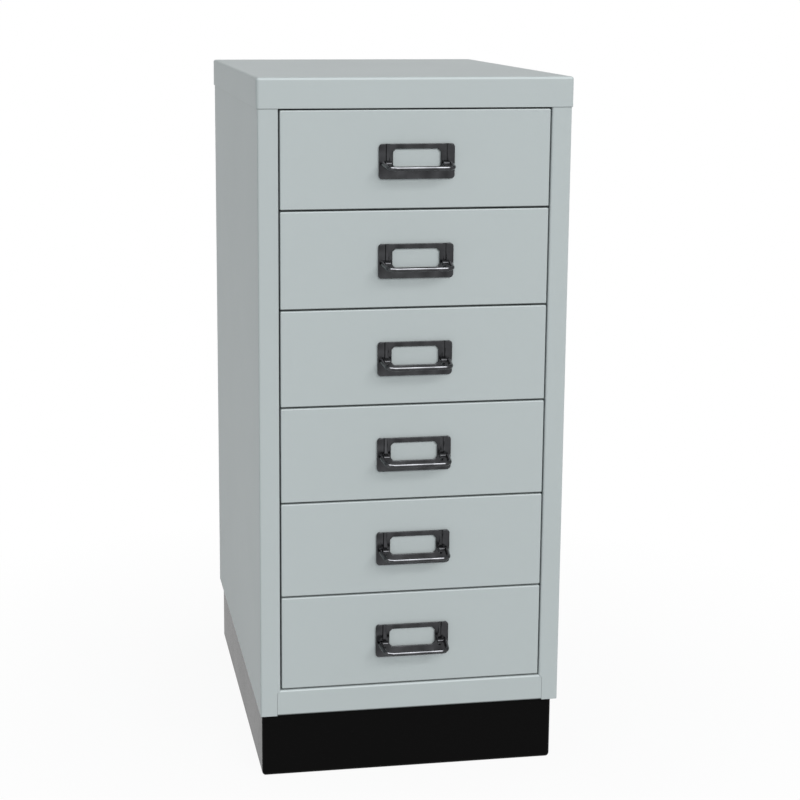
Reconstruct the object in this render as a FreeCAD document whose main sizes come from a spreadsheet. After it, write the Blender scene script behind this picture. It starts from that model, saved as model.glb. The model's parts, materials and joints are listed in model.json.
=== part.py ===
"""Small six-drawer metal cabinet on a plinth: a folded-sheet carcass, six drawers hung by rolled
lips in channel runners, and a plated card frame with a wire bow on every drawer front.

Frame: +Z up, the drawers open towards -Y, X = 0 is the cabinet's middle plane. The origin is on the
floor, half way between the bows' fronts and the back of the cover. Millimetres throughout."""

import FreeCAD, Part
import math
import os
import Sketcher
from FreeCAD import Vector

# Driving dimensions: alias, value, what it measures

SIZES = (
    ("body_width", 277.0, "carcass over its two side panels"),
    ("body_depth", 398.0, "carcass from the stiles' face to its back"),
    ("carcass_sheet", 0.9, "sheet of the side panels, rails, base and back"),
    ("carcass_bend", 1.8, "outer radius of the carcass folds"),
    ("stile_width", 18.0, "front fold of a side panel"),
    ("stile_return", 14.0, "depth of the fold behind a stile's inner edge"),
    ("rear_flange", 15.0, "rear fold of a side panel"),
    ("back_flange", 12.0, "fold at the top of the back panel"),
    ("rail_end_gap", 0.25, "seam between a front rail and a stile"),
    ("rail_mitre", 3.0, "how far the bottom rail reaches into the stiles, below a mitre"),
    ("bottom_rail_height", 24.2, "front rail under the lowest drawer"),
    ("base_flange", 14.0, "upturned edge of the base panel"),
    ("cover_overhang", 1.0, "how far the cover stands proud of the carcass, all round"),
    ("cover_skirt", 26.5, "height of the cover over its skirt"),
    ("cover_radius", 2.4, "outer bend of the cover's top edges"),
    ("rail_drop", 0.8, "how far the top rail's lower face is above the skirt's edge"),
    ("drawer_pitch", 87.0, "height from one drawer to the next"),
    ("reveal", 1.3, "gap round every drawer front"),
    ("front_depth", 15.0, "thickness of a boxed drawer front"),
    ("front_sheet", 0.9, "sheet of a drawer front"),
    ("front_radius", 1.8, "bend round the face of a drawer front"),
    ("front_hem", 10.0, "fold at the back of a drawer front"),
    ("tray_sheet", 0.8, "sheet of a drawer tray"),
    ("tray_bend", 1.6, "bend at the bottom of a tray"),
    ("tray_low", 6.0, "tray's underside above the front's lower edge"),
    ("tray_height", 68.0, "height of a tray"),
    ("tray_rear_space", 13.0, "from a tray's back to the back of the carcass"),
    ("tray_rear_hem", 6.0, "inward fold at the top of a tray's back"),
    ("lip_width", 4.8, "how far a tray's side lips stand out"),
    ("lip_drop", 4.0, "height of the rolled edge of a lip"),
    ("lip_radius", 0.7, "outer bend of a lip's rolled edge"),
    ("running_gap", 0.3, "clearance of sliding faces"),
    ("runner_headroom", 0.7, "clearance over a lip inside its runner"),
    ("runner_sheet", 1.0, "sheet of a runner"),
    ("runner_side_gap", 1.0, "clearance between a runner's legs and a tray's side"),
    ("runner_start_gap", 0.6, "clearance between a drawer front and its runners"),
    ("lip_tail", 50.7, "lip from the front of a stop block to the back of the tray"),
    ("stop_length", 12.0, "length of a stop block"),
    ("stop_reach", 5.2, "how far a stop block stands out past its lip"),
    ("stop_bevel", 1.5, "bevel of a stop block's outer corners"),
    ("frame_width", 67.0, "card frame"),
    ("frame_height", 31.5, "card frame"),
    ("frame_drop", 1.0, "card frame's centre below the middle of the drawer front"),
    ("frame_sheet", 1.0, "sheet of a card frame"),
    ("frame_corner", 3.2, "corner radius of a card frame"),
    ("frame_rim", 1.2, "width of the rim that meets the drawer front"),
    ("card_gap", 1.4, "slot behind a card frame for its card"),
    ("window_height", 16.5, "opening that shows the card"),
    ("window_inset", 4.5, "from the middle of a rib to the window"),
    ("window_margin", 4.3, "from the window's top to the frame's top"),
    ("window_corner", 3.0, "corner radius of the window"),
    ("rib_inset", 8.0, "from the end of a card frame to the middle of its rib"),
    ("rib_width", 2.7, "pressed rib"),
    ("rib_height", 0.8, "how far a rib stands out"),
    ("band_height", 3.6, "pressed band that joins the ribs under the window"),
    ("lug_width", 4.8, "lug that holds one end of the bow"),
    ("lug_shoulder", 2.2, "lug above the bow's wire"),
    ("lug_point", 3.9, "pointed end of a lug below the wire"),
    ("lug_wrap", 0.9, "sheet of the lug over the wire"),
    ("lug_bevel", 0.8, "bevel of a lug's face"),
    ("wire_diameter", 3.8, "wire of the bow"),
    ("wire_gap", 0.05, "clearance round the wire in a lug"),
    ("wire_drop", 2.6, "wire's ends below the middle of the card frame"),
    ("bow_standout", 28.0, "bow's front over the drawer front"),
    ("bow_taper", 2.3, "how far an arm leans inwards from the card frame to the bar"),
    ("bow_sag", 2.0, "how far the bar hangs below the wire's ends"),
    ("bow_bend", 6.8, "from the corner between bar and arm to either end of its bend"),
    ("bow_root_bend", 2.1, "from the corner between arm and end to either end of its bend"),
    ("bow_root_gap", 0.4, "from a lug to the start of the wire's bend"),
    ("tab_height", 6.0, "tabs that hold a card frame"),
    ("tab_inset", 5.5, "from the end of a card frame to the middle of its tab"),
    ("tab_foot", 4.0, "bent end of a tab inside the drawer front"),
    ("slot_gap", 0.2, "clearance round a tab in its slot"),
    ("plinth_height", 63.0, "plinth under the carcass"),
    ("plinth_inset", 2.5, "plinth behind the carcass at each side"),
    ("plinth_setback", 12.0, "plinth behind the carcass at the front"),
    ("plinth_rear_setback", 15.0, "plinth in front of the carcass back"),
    ("plinth_sheet", 1.2, "sheet of the plinth"),
    ("plinth_top_flange", 25.0, "fold under the carcass"),
    ("plinth_foot_flange", 16.0, "fold on the floor"),
    ("plinth_radius", 4.0, "outer radius of the folds on the floor"),
    ("plinth_corner_length", 32.0, "how far the end channels reach round the corners"),
    ("bolt_diameter", 6.0, "bolts between plinth and base"),
    ("bolt_length", 12.0, "under the head"),
    ("bolt_hole_gap", 0.3, "clearance round a bolt in its hole"),
    ("bolt_head_height", 4.0, "hexagon head"),
    ("bolt_rear_row", 62.0, "bolt rows from the plinth's front and back"),
    ("nut_height", 5.0, "hexagon nut"),
    ("nut_gap", 0.05, "clearance between nut and bolt"),
    ("hex_flats", 10.0, "across the flats of bolt heads and nuts"),
    ("overrun", 2.0, "how far a cut runs past the face that it opens"),
)

# Places worked out from the driving dimensions: alias, formula, what it is

DRAWERS = 6

PLACES = (
    ("side_outer", "Sizes.body_width / 2", "outer face of a side panel"),
    ("side_inner", "side_outer - Sizes.carcass_sheet", "inner face of a side panel"),
    ("opening_half", "side_outer - Sizes.stile_width", "inner edge of a stile"),
    ("front_y", "(Sizes.bow_standout - Sizes.cover_overhang - Sizes.body_depth) / 2", "stiles' face"),
    ("back_y", "front_y + Sizes.body_depth", "back of the carcass"),
    ("skirt_low", f"Sizes.plinth_height + Sizes.bottom_rail_height + Sizes.reveal"
                  f" + {DRAWERS} * Sizes.drawer_pitch", "lower edge of the cover"),
    ("top_z", "skirt_low + Sizes.cover_skirt", "top of the cover"),
    ("cover_under", "top_z - Sizes.carcass_sheet", "underside of the cover's top sheet"),
    ("side_top", "top_z - Sizes.cover_radius", "upper edge of a side panel"),
    ("rail_half", "opening_half - Sizes.rail_end_gap", "end of the top rail"),
    ("rail_top", "Sizes.plinth_height + Sizes.bottom_rail_height", "top of the bottom rail"),
    ("stile_notch", "opening_half + Sizes.rail_mitre", "inner edge of a stile beside the bottom rail"),
    ("base_front", "front_y + Sizes.stile_return + Sizes.rail_end_gap", "front of the base panel"),
    ("back_inner", "back_y - 2 * Sizes.carcass_sheet", "inner face of the back panel"),
    ("back_half", "side_outer - Sizes.carcass_bend", "side edge of the back panel, clear of the bends"),
    ("front_half", "opening_half - Sizes.reveal", "side of a drawer front"),
    ("front_height", "Sizes.drawer_pitch - Sizes.reveal", "drawer front"),
    ("tray_front", "front_y + Sizes.front_depth", "front wall of a tray"),
    ("tray_rear", "back_y - Sizes.tray_rear_space", "back of a tray"),
    ("tray_top", "Sizes.tray_low + Sizes.tray_height", "top of a tray, from the front's lower edge"),
    ("tray_half", "front_half - Sizes.lip_width", "side of a tray"),
    ("lip_low", "tray_top - Sizes.lip_drop", "lower edge of a lip"),
    ("stop_front", "tray_rear - Sizes.lip_tail", "front of a stop"),
    ("travel", "stop_front - front_y - Sizes.stile_return - Sizes.running_gap", "how far a drawer slides"),
    ("runner_front", "tray_front + Sizes.runner_start_gap", "front end of a runner"),
    ("runner_rear", "tray_rear + Sizes.running_gap", "inner face of a runner's end stop"),
    ("runner_tip", "tray_half + Sizes.runner_side_gap", "edge of a runner's legs"),
    ("runner_floor", "lip_low - Sizes.running_gap", "face that a lip slides on"),
    ("runner_roof", "tray_top + Sizes.runner_headroom", "face over a lip"),
    ("frame_face", "front_y - Sizes.card_gap - Sizes.frame_sheet", "face of a card frame"),
    ("frame_middle", "front_height / 2 - Sizes.frame_drop", "middle of a card frame"),
    ("frame_top", "frame_middle + Sizes.frame_height / 2", "upper edge of a card frame"),
    ("frame_low", "frame_middle - Sizes.frame_height / 2", "lower edge of a card frame"),
    ("window_top", "frame_top - Sizes.window_margin", "upper edge of the window"),
    ("window_low", "window_top - Sizes.window_height", "lower edge of the window"),
    ("rib_x", "Sizes.frame_width / 2 - Sizes.rib_inset", "middle of a rib and of a lug"),
    ("window_half", "rib_x - Sizes.window_inset", "side of the window"),
    ("tab_x", "Sizes.frame_width / 2 - Sizes.tab_inset", "middle of a tab"),
    ("wire_end", "rib_x - Sizes.lug_width / 2", "wire's ends, flush with the lugs"),
    ("bow_root", "rib_x + Sizes.lug_width / 2 + Sizes.bow_root_gap + Sizes.bow_root_bend",
     "middle of an arm at the card frame"),
    ("bow_half", "bow_root - Sizes.bow_taper", "middle of an arm at the bar"),
    ("wire_height", "frame_middle - Sizes.wire_drop", "height of the wire's ends"),
    ("wire_y", "frame_face - Sizes.wire_diameter / 2 - Sizes.wire_gap", "middle of the wire's ends"),
    ("bar_reach", "wire_y - front_y + Sizes.bow_standout - Sizes.wire_diameter / 2",
     "from the wire's ends to the middle of the bar"),
    ("lug_face", "frame_face - Sizes.wire_diameter - 2 * Sizes.wire_gap - Sizes.lug_wrap",
     "front of a lug"),
    ("plinth_half", "side_outer - Sizes.plinth_inset", "side of the plinth"),
    ("plinth_front_y", "front_y + Sizes.plinth_setback", "front of the plinth"),
    ("plinth_back_y", "back_y - Sizes.plinth_rear_setback", "back of the plinth"),
    ("bolt_x", "plinth_half - Sizes.plinth_top_flange / 2", "bolt rows from the middle plane"),
    ("hex_radius", "Sizes.hex_flats / 2 / cos(30 deg)", "corner radius of the hexagons"),
)

# Straight runs that stand for one bend of the wire, and flat sides of its section

BEND_STEPS = 2
WIRE_SIDES = 10

# Numbers by which the sketcher knows a line's start and end and a circle's middle, and its origin

START = 1
END = 2
MIDDLE = 3
ORIGIN = -1

# Decimal places to which coordinates have to agree

DECIMALS = 5

doc = FreeCAD.newDocument("drawer_cabinet")
pieces = []


def make_sheet(name, rows, prefix):
    """A spreadsheet with one aliased row for each value."""
    sheet = doc.addObject("Spreadsheet::Sheet", name)
    for number, (alias, content, note) in enumerate(rows, start=1):
        sheet.set(f"A{number}", alias)
        sheet.set(f"B{number}", f"{prefix}{content}")
        sheet.setAlias(f"B{number}", alias)
        sheet.set(f"C{number}", note)
    return sheet


sizes = make_sheet("Sizes", SIZES, "")
places = make_sheet("Places", PLACES, "=")
doc.recompute()


def number(expression):
    """The value of an expression on the two sheets."""
    return float(places.evalExpression(expression))


def keep(thing, label):
    """Marks an object of the document as a finished piece."""
    thing.Label = label
    pieces.append(thing)
    return thing


def lift(thing, height):
    """Binds an object's height above the floor."""
    thing.setExpression("Placement.Base.z", height)


# Sketches and features inside a body


def new_body(label):
    body = doc.addObject("PartDesign::Body", label)
    return keep(body, label)


def new_sketch(body, name, plane, place="0"):
    """A sketch parallel to one of the body's planes, at a place along X, Y or Z.
    Its own axes are X and Y on XY, X and Z on XZ, and Y and Z on YZ."""
    sketch = body.newObject("Sketcher::SketchObject", name)
    base = next(f for f in body.Origin.OriginFeatures if f.Role == plane + "_Plane")
    sketch.AttachmentSupport = [(base, "")]
    sketch.MapMode = "FlatFace"
    side = "-" if plane == "XZ" else ""
    sketch.setExpression("AttachmentOffset.Base.z", f"{side}({place})")
    return sketch


def tie(sketch, constraint, expression):
    """Adds a constraint of size under a name of its own, and ties it to an expression."""
    constraint.Name = f"size{sketch.ConstraintCount}"
    sketch.addConstraint(constraint)
    sketch.setExpression(f"Constraints.{constraint.Name}", expression)


def bind(sketch, element, corner, x, y):
    """Ties the place of a point to two expressions."""
    across = Sketcher.Constraint("DistanceX", ORIGIN, START, element, corner, number(x))
    tie(sketch, across, x)
    upward = Sketcher.Constraint("DistanceY", ORIGIN, START, element, corner, number(y))
    tie(sketch, upward, y)


def outline(sketch, corners):
    """A closed outline of straight lines through corners given as pairs of expressions."""
    first = sketch.GeometryCount
    spots = [Vector(number(x), number(y), 0) for x, y in corners]
    count = len(spots)
    for k in range(count):
        sketch.addGeometry(Part.LineSegment(spots[k], spots[(k + 1) % count]), False)
    for k in range(count):
        sketch.addConstraint(
            Sketcher.Constraint("Coincident", first + k, END, first + (k + 1) % count, START))
    for k, (x, y) in enumerate(corners):
        bind(sketch, first + k, START, x, y)


def rectangle(sketch, left, right, low, high):
    outline(sketch, [(left, low), (right, low), (right, high), (left, high)])


def circle(sketch, x, y, diameter):
    element = sketch.addGeometry(
        Part.Circle(Vector(number(x), number(y), 0), Vector(0, 0, 1), number(diameter) / 2), False)
    bind(sketch, element, MIDDLE, x, y)
    tie(sketch, Sketcher.Constraint("Diameter", element, number(diameter)), diameter)


def wire_section(sketch, x, y, width):
    """A regular polygon in place of a circle, its width taken across the flat sides."""
    corners = []
    for side in range(WIRE_SIDES):
        angle = f"{(side + 0.5) * 360 / WIRE_SIDES} deg"
        radius = f"{width} / 2 / cos({180 / WIRE_SIDES} deg)"
        corners.append((f"{x} + {radius} * cos({angle})", f"{y} + {radius} * sin({angle})"))
    outline(sketch, corners)


def open_line(sketch, corners):
    """Straight lines from each corner to the next."""
    spots = [Vector(number(x), number(y), 0) for x, y in corners]
    for a, b in zip(spots, spots[1:]):
        sketch.addGeometry(Part.LineSegment(a, b), False)
    last = len(spots) - 2
    for k in range(last):
        sketch.addConstraint(Sketcher.Constraint("Coincident", k, END, k + 1, START))
    for k, (x, y) in enumerate(corners[:-1]):
        bind(sketch, k, START, x, y)
    bind(sketch, last, END, *corners[-1])


def bent(before, corner, after, reach):
    """Points of a bend that leaves one line and meets the next at a distance from their corner."""
    (x, y) = corner
    starts = []
    for ex, ey in (before, after):
        share = f"{reach} / hypot({ex} - ({x}); {ey} - ({y}))"
        starts.append((f"{share} * ({ex} - ({x}))", f"{share} * ({ey} - ({y}))"))
    (ax, ay), (bx, by) = starts
    points = []
    for k in range(BEND_STEPS + 1):
        angle = math.radians(90) * k / BEND_STEPS
        a = f"{1 - math.sin(angle)}"
        b = f"{1 - math.cos(angle)}"
        points.append((f"{x} + {a} * {ax} + {b} * {bx}", f"{y} + {a} * {ay} + {b} * {by}"))
    return points


def mirrored(corners):
    """The same corners on the other side of the middle plane."""
    return [(f"-({x})", y) for x, y in corners]


def pad(body, sketch, length, backwards=False):
    """Adds material along the sketch's normal, which is +Z on XY, -Y on XZ and +X on YZ."""
    feature = body.newObject("PartDesign::Pad", sketch.Label + "_pad")
    feature.Profile = sketch
    feature.setExpression("Length", length)
    feature.Reversed = backwards
    doc.recompute([body])
    return feature


def pocket(body, sketch, depth, along=False):
    """Cuts against the sketch's normal, or along it, and makes sure that it cut something."""
    before = body.Shape.Volume
    feature = body.newObject("PartDesign::Pocket", sketch.Label + "_cut")
    feature.Profile = sketch
    feature.setExpression("Length", depth)
    feature.Reversed = along
    doc.recompute([body])
    if not body.Shape.Volume < before:
        raise RuntimeError(f"{body.Label}: {sketch.Label} cuts nothing")
    return feature


def same(a, b):
    """True where two coordinates agree to well within the modeller's own tolerance."""
    return round(a - b, DECIMALS) == 0


def edges_where(shape, test):
    """Names of the edges whose bounding box passes a test."""
    return [f"Edge{k}" for k, edge in enumerate(shape.Edges, start=1) if test(edge.BoundBox)]


def upright_at(*spots):
    """Test for edges along Z that stand at one of some (x, y) spots."""
    wanted = [(number(x), number(y)) for x, y in spots]
    return lambda box: (same(box.XMin, box.XMax) and same(box.YMin, box.YMax)
                        and any(same(box.XMin, x) and same(box.YMin, y) for x, y in wanted))


def along_x_at(*spots):
    """Test for edges along X at one of some (y, z) spots."""
    wanted = [(number(y), number(z)) for y, z in spots]
    return lambda box: (same(box.YMin, box.YMax) and same(box.ZMin, box.ZMax)
                        and any(same(box.YMin, y) and same(box.ZMin, z) for y, z in wanted))


def along_y_at(*spots):
    """Test for edges along Y at one of some (x, z) spots."""
    wanted = [(number(x), number(z)) for x, z in spots]
    return lambda box: (same(box.XMin, box.XMax) and same(box.ZMin, box.ZMax)
                        and any(same(box.XMin, x) and same(box.ZMin, z) for x, z in wanted))


def in_plane_z(place):
    level = number(place)
    return lambda box: same(box.ZMin, level) and same(box.ZMax, level)


def in_plane_y(place):
    level = number(place)
    return lambda box: same(box.YMin, level) and same(box.YMax, level)


def dress_edges(body, kind, test, property_name, size):
    """Adds a fillet or a chamfer to every edge of the body's last feature that passes a test."""
    base = body.Tip
    names = edges_where(base.Shape, test)
    if not names:
        raise RuntimeError(f"{body.Label}: no edge for {size}")
    feature = body.newObject("PartDesign::" + kind, kind.lower())
    feature.Base = (base, names)
    feature.setExpression(property_name, size)
    doc.recompute([body])
    return feature


def round_edges(body, test, radius):
    return dress_edges(body, "Fillet", test, "Radius", radius)


def bevel_edges(body, test, size):
    return dress_edges(body, "Chamfer", test, "Size", size)


def shell_out(body, test, sheet):
    """Hollows the body's last feature from the faces that pass a test, leaving a sheet."""
    base = body.Tip
    names = [f"Face{k}" for k, face in enumerate(base.Shape.Faces, start=1) if test(face.BoundBox)]
    feature = body.newObject("PartDesign::Thickness", "sheet_shell")
    feature.Base = (base, names)
    feature.setExpression("Value", sheet)
    feature.Reversed = True
    doc.recompute([body])
    return feature


# Carcass


def side_panel(label, side):
    """One side of the carcass, with its stile, the return behind it and the rear flange.
    The stile is notched for the bottom rail, with a mitre at the top."""
    body = new_body(label)
    sheet = "Sizes.carcass_sheet"
    corners = [
        ("Places.side_outer", "Places.front_y"),
        ("Places.side_outer", "Places.back_y"),
        ("Places.side_outer - Sizes.rear_flange", "Places.back_y"),
        ("Places.side_outer - Sizes.rear_flange", f"Places.back_y - {sheet}"),
        ("Places.side_inner", f"Places.back_y - {sheet}"),
        ("Places.side_inner", f"Places.front_y + {sheet}"),
        (f"Places.opening_half + {sheet}", f"Places.front_y + {sheet}"),
        (f"Places.opening_half + {sheet}", "Places.front_y + Sizes.stile_return"),
        ("Places.opening_half", "Places.front_y + Sizes.stile_return"),
        ("Places.opening_half", "Places.front_y"),
    ]
    if side < 0:
        corners = mirrored(corners)
    profile = new_sketch(body, label + "_profile", "XY", "Sizes.plinth_height")
    outline(profile, corners)
    pad(body, profile, "Places.side_top - Sizes.plinth_height")
    outer = [corners[0], corners[1], corners[9]]
    inner = [corners[4], corners[5], corners[6]]
    round_edges(body, upright_at(*outer), "Sizes.carcass_bend")
    round_edges(body, upright_at(*inner), "Sizes.carcass_bend - Sizes.carcass_sheet")
    inside = "Places.opening_half - Sizes.overrun"
    bottom = "Sizes.plinth_height - Sizes.overrun"
    cut = [(inside, bottom), ("Places.stile_notch", bottom),
           ("Places.stile_notch", "Places.rail_top - Sizes.rail_mitre"),
           ("Places.opening_half", "Places.rail_top"), (inside, "Places.rail_top")]
    if side < 0:
        cut = mirrored(cut)
    notch = new_sketch(body, label + "_notch", "XZ", "Places.front_y")
    outline(notch, cut)
    pocket(body, notch, "Sizes.stile_return + Sizes.overrun")
    return body


def front_rail(label, low, high, half):
    """A channel between the two stiles, open to the back."""
    body = new_body(label)
    sheet = "Sizes.carcass_sheet"
    rear = "Places.front_y + Sizes.stile_return"
    corners = [
        ("Places.front_y", low),
        (rear, low),
        (rear, f"{low} + {sheet}"),
        (f"Places.front_y + {sheet}", f"{low} + {sheet}"),
        (f"Places.front_y + {sheet}", f"{high} - {sheet}"),
        (rear, f"{high} - {sheet}"),
        (rear, high),
        ("Places.front_y", high),
    ]
    profile = new_sketch(body, label + "_profile", "YZ", f"-({half})")
    outline(profile, corners)
    pad(body, profile, f"2 * ({half})")
    round_edges(body, along_x_at(corners[0], corners[7]), "Sizes.carcass_bend")
    round_edges(body, along_x_at(corners[3], corners[4]), "Sizes.carcass_bend - Sizes.carcass_sheet")
    return body


def bottom_rail():
    """The rail under the lowest drawer, mitred at its upper corners."""
    half = "Places.stile_notch - Sizes.rail_end_gap"
    body = front_rail("bottom_rail", "Sizes.plinth_height", "Places.rail_top", half)
    corner = [(half, "Places.rail_top"), (f"{half} - Sizes.rail_mitre", "Places.rail_top"),
              (half, "Places.rail_top - Sizes.rail_mitre")]
    mitres = new_sketch(body, "bottom_rail_mitres", "XZ", "Places.front_y")
    outline(mitres, corner)
    outline(mitres, mirrored(corner))
    pocket(body, mitres, "Sizes.stile_return + Sizes.overrun")
    return body


def back_panel():
    """Flat back inside the rear flanges, folded forward under the cover."""
    body = new_body("back_panel")
    sheet = "Sizes.carcass_sheet"
    outer = f"Places.back_y - {sheet}"
    corners = [
        ("Places.back_inner", "Sizes.plinth_height"),
        (outer, "Sizes.plinth_height"),
        (outer, "Places.cover_under"),
        ("Places.back_inner - Sizes.back_flange", "Places.cover_under"),
        ("Places.back_inner - Sizes.back_flange", f"Places.cover_under - {sheet}"),
        ("Places.back_inner", f"Places.cover_under - {sheet}"),
    ]
    profile = new_sketch(body, "back_profile", "YZ", "-Places.back_half")
    outline(profile, corners)
    pad(body, profile, "2 * Places.back_half")
    round_edges(body, along_x_at(corners[2]), "Sizes.carcass_bend")
    round_edges(body, along_x_at(corners[5]), "Sizes.carcass_bend - Sizes.carcass_sheet")
    return body


def base_panel():
    """Floor of the carcass: a shallow pan that the plinth is bolted to."""
    body = new_body("base_panel")
    floor = new_sketch(body, "base_floor", "XY", "Sizes.plinth_height")
    rectangle(floor, "-Places.side_inner", "Places.side_inner", "Places.base_front", "Places.back_inner")
    pad(body, floor, "Sizes.base_flange")
    round_edges(body, in_plane_z("Sizes.plinth_height"), "Sizes.carcass_bend")
    top = number("Sizes.plinth_height + Sizes.base_flange")
    shell_out(body, lambda box: same(box.ZMin, top), "Sizes.carcass_sheet")
    holes = new_sketch(body, "base_holes", "XY", "Sizes.plinth_height + Sizes.base_flange")
    for x, y in bolt_spots():
        circle(holes, x, y, "Sizes.bolt_diameter + 2 * Sizes.bolt_hole_gap")
    pocket(body, holes, "Sizes.base_flange + Sizes.overrun")
    return body


def top_cover():
    """Cover with a skirt all round, bent from one sheet."""
    body = new_body("top_cover")
    outer = "Places.side_outer + Sizes.cover_overhang"
    front = "Places.front_y - Sizes.cover_overhang"
    back = "Places.back_y + Sizes.cover_overhang"
    block = new_sketch(body, "cover_block", "XY", "Places.skirt_low")
    rectangle(block, f"-({outer})", outer, front, back)
    pad(body, block, "Sizes.cover_skirt")
    round_edges(body, in_plane_z("Places.top_z"), "Sizes.cover_radius")
    low = number("Places.skirt_low")
    shell_out(body, lambda box: same(box.ZMax, low), "Sizes.carcass_sheet")
    return body


# Runners and drawers


def drawer_base(position):
    """Height of the lower edge of a drawer front; drawer 1 is the top one."""
    return f"Places.rail_top + Sizes.reveal + {DRAWERS - position} * Sizes.drawer_pitch"


def runner(position, name, side):
    """Channel that one lip of a drawer slides in, closed at its rear end as the stop."""
    label = f"runner_{name}_{position}"
    body = new_body(label)
    sheet = "Sizes.runner_sheet"
    low = f"Places.runner_floor - {sheet}"
    high = f"Places.runner_roof + {sheet}"
    corners = [
        ("Places.side_inner", low),
        ("Places.runner_tip", low),
        ("Places.runner_tip", "Places.runner_floor"),
        (f"Places.side_inner - {sheet}", "Places.runner_floor"),
        (f"Places.side_inner - {sheet}", "Places.runner_roof"),
        ("Places.runner_tip", "Places.runner_roof"),
        ("Places.runner_tip", high),
        ("Places.side_inner", high),
    ]
    end = [corners[0], corners[1], corners[6], corners[7]]
    if side < 0:
        corners = mirrored(corners)
        end = mirrored(end)
    profile = new_sketch(body, label + "_profile", "XZ", "Places.runner_front")
    outline(profile, corners)
    pad(body, profile, "Places.runner_rear - Places.runner_front", backwards=True)
    stop = new_sketch(body, label + "_end", "XZ", "Places.runner_rear")
    outline(stop, end)
    pad(body, stop, sheet, backwards=True)
    lift(body, drawer_base(position))
    return body


def drawer_tray(position):
    """Open tray with a rolled lip along each side; the lips carry the drawer."""
    label = f"drawer_{position}_tray"
    body = new_body(label)
    sheet = "Sizes.tray_sheet"
    floor = new_sketch(body, label + "_block", "XY", "Sizes.tray_low")
    rectangle(floor, "-Places.tray_half", "Places.tray_half", "Places.tray_front", "Places.tray_rear")
    pad(body, floor, "Sizes.tray_height")
    round_edges(body, in_plane_z("Sizes.tray_low"), "Sizes.tray_bend")
    inside = new_sketch(body, label + "_inside", "XY", "Places.tray_top")
    rectangle(inside, f"-(Places.tray_half - {sheet})", f"Places.tray_half - {sheet}",
              f"Places.tray_front + {sheet}", f"Places.tray_rear - {sheet}")
    pocket(body, inside, f"Sizes.tray_height - {sheet}")
    hem = new_sketch(body, label + "_hem", "XY", "Places.tray_top")
    rectangle(hem, f"-(Places.tray_half - {sheet} / 2)", f"Places.tray_half - {sheet} / 2",
              "Places.tray_rear - Sizes.tray_rear_hem", f"Places.tray_rear - {sheet} / 2")
    pad(body, hem, sheet, backwards=True)
    root = f"Places.tray_half - {sheet} / 2"
    rolled = [
        (root, f"Places.tray_top - {sheet}"),
        (f"Places.front_half - {sheet}", f"Places.tray_top - {sheet}"),
        (f"Places.front_half - {sheet}", "Places.lip_low"),
        ("Places.front_half", "Places.lip_low"),
        ("Places.front_half", "Places.tray_top"),
        (root, "Places.tray_top"),
    ]
    lips = new_sketch(body, label + "_lips", "XZ", "Places.tray_front")
    outline(lips, rolled)
    outline(lips, mirrored(rolled))
    pad(body, lips, "Places.stop_front - Places.tray_front", backwards=True)
    flat = [rolled[0], ("Places.front_half", f"Places.tray_top - {sheet}"), rolled[4], rolled[5]]
    ends = new_sketch(body, label + "_lip_ends", "XZ", "Places.stop_front")
    outline(ends, flat)
    outline(ends, mirrored(flat))
    pad(body, ends, "Places.tray_rear - Places.stop_front", backwards=True)
    edge = ("Places.front_half", "Places.tray_top")
    round_edges(body, along_y_at(edge, ("-Places.front_half", "Places.tray_top")), "Sizes.lip_radius")
    lift(body, drawer_base(position))
    return body


def drawer_front(position):
    """Boxed front: a folded skin with hems behind, which the tray's front wall closes."""
    label = f"drawer_{position}_front"
    body = new_body(label)
    sheet = "Sizes.front_sheet"
    block = new_sketch(body, label + "_block", "XZ", "Places.tray_front")
    rectangle(block, "-Places.front_half", "Places.front_half", "0", "Places.front_height")
    pad(body, block, "Sizes.front_depth")
    round_edges(body, in_plane_y("Places.front_y"), "Sizes.front_radius")
    inner = f"Places.front_half - {sheet}"
    hollow = new_sketch(body, label + "_hollow", "XZ", f"Places.tray_front - {sheet}")
    rectangle(hollow, f"-({inner})", inner, sheet, f"Places.front_height - {sheet}")
    pocket(body, hollow, f"Sizes.front_depth - 2 * {sheet}", along=True)
    inner = "Places.front_half - Sizes.front_hem"
    window = new_sketch(body, label + "_back", "XZ", "Places.tray_front")
    rectangle(window, f"-({inner})", inner, "Sizes.front_hem", "Places.front_height - Sizes.front_hem")
    pocket(body, window, f"{sheet} + Sizes.overrun", along=True)
    slots = new_sketch(body, label + "_slots", "XZ", f"Places.front_y + {sheet}")
    half_wide = "Sizes.frame_sheet / 2 + Sizes.slot_gap"
    half_high = "Sizes.tab_height / 2 + Sizes.slot_gap"
    low = f"Places.frame_middle - ({half_high})"
    high = f"Places.frame_middle + ({half_high})"
    for middle in ("Places.tab_x", "-Places.tab_x"):
        rectangle(slots, f"{middle} - ({half_wide})", f"{middle} + {half_wide}", low, high)
    pocket(body, slots, f"{sheet} + Sizes.overrun", along=True)
    lift(body, drawer_base(position))
    return body


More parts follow.
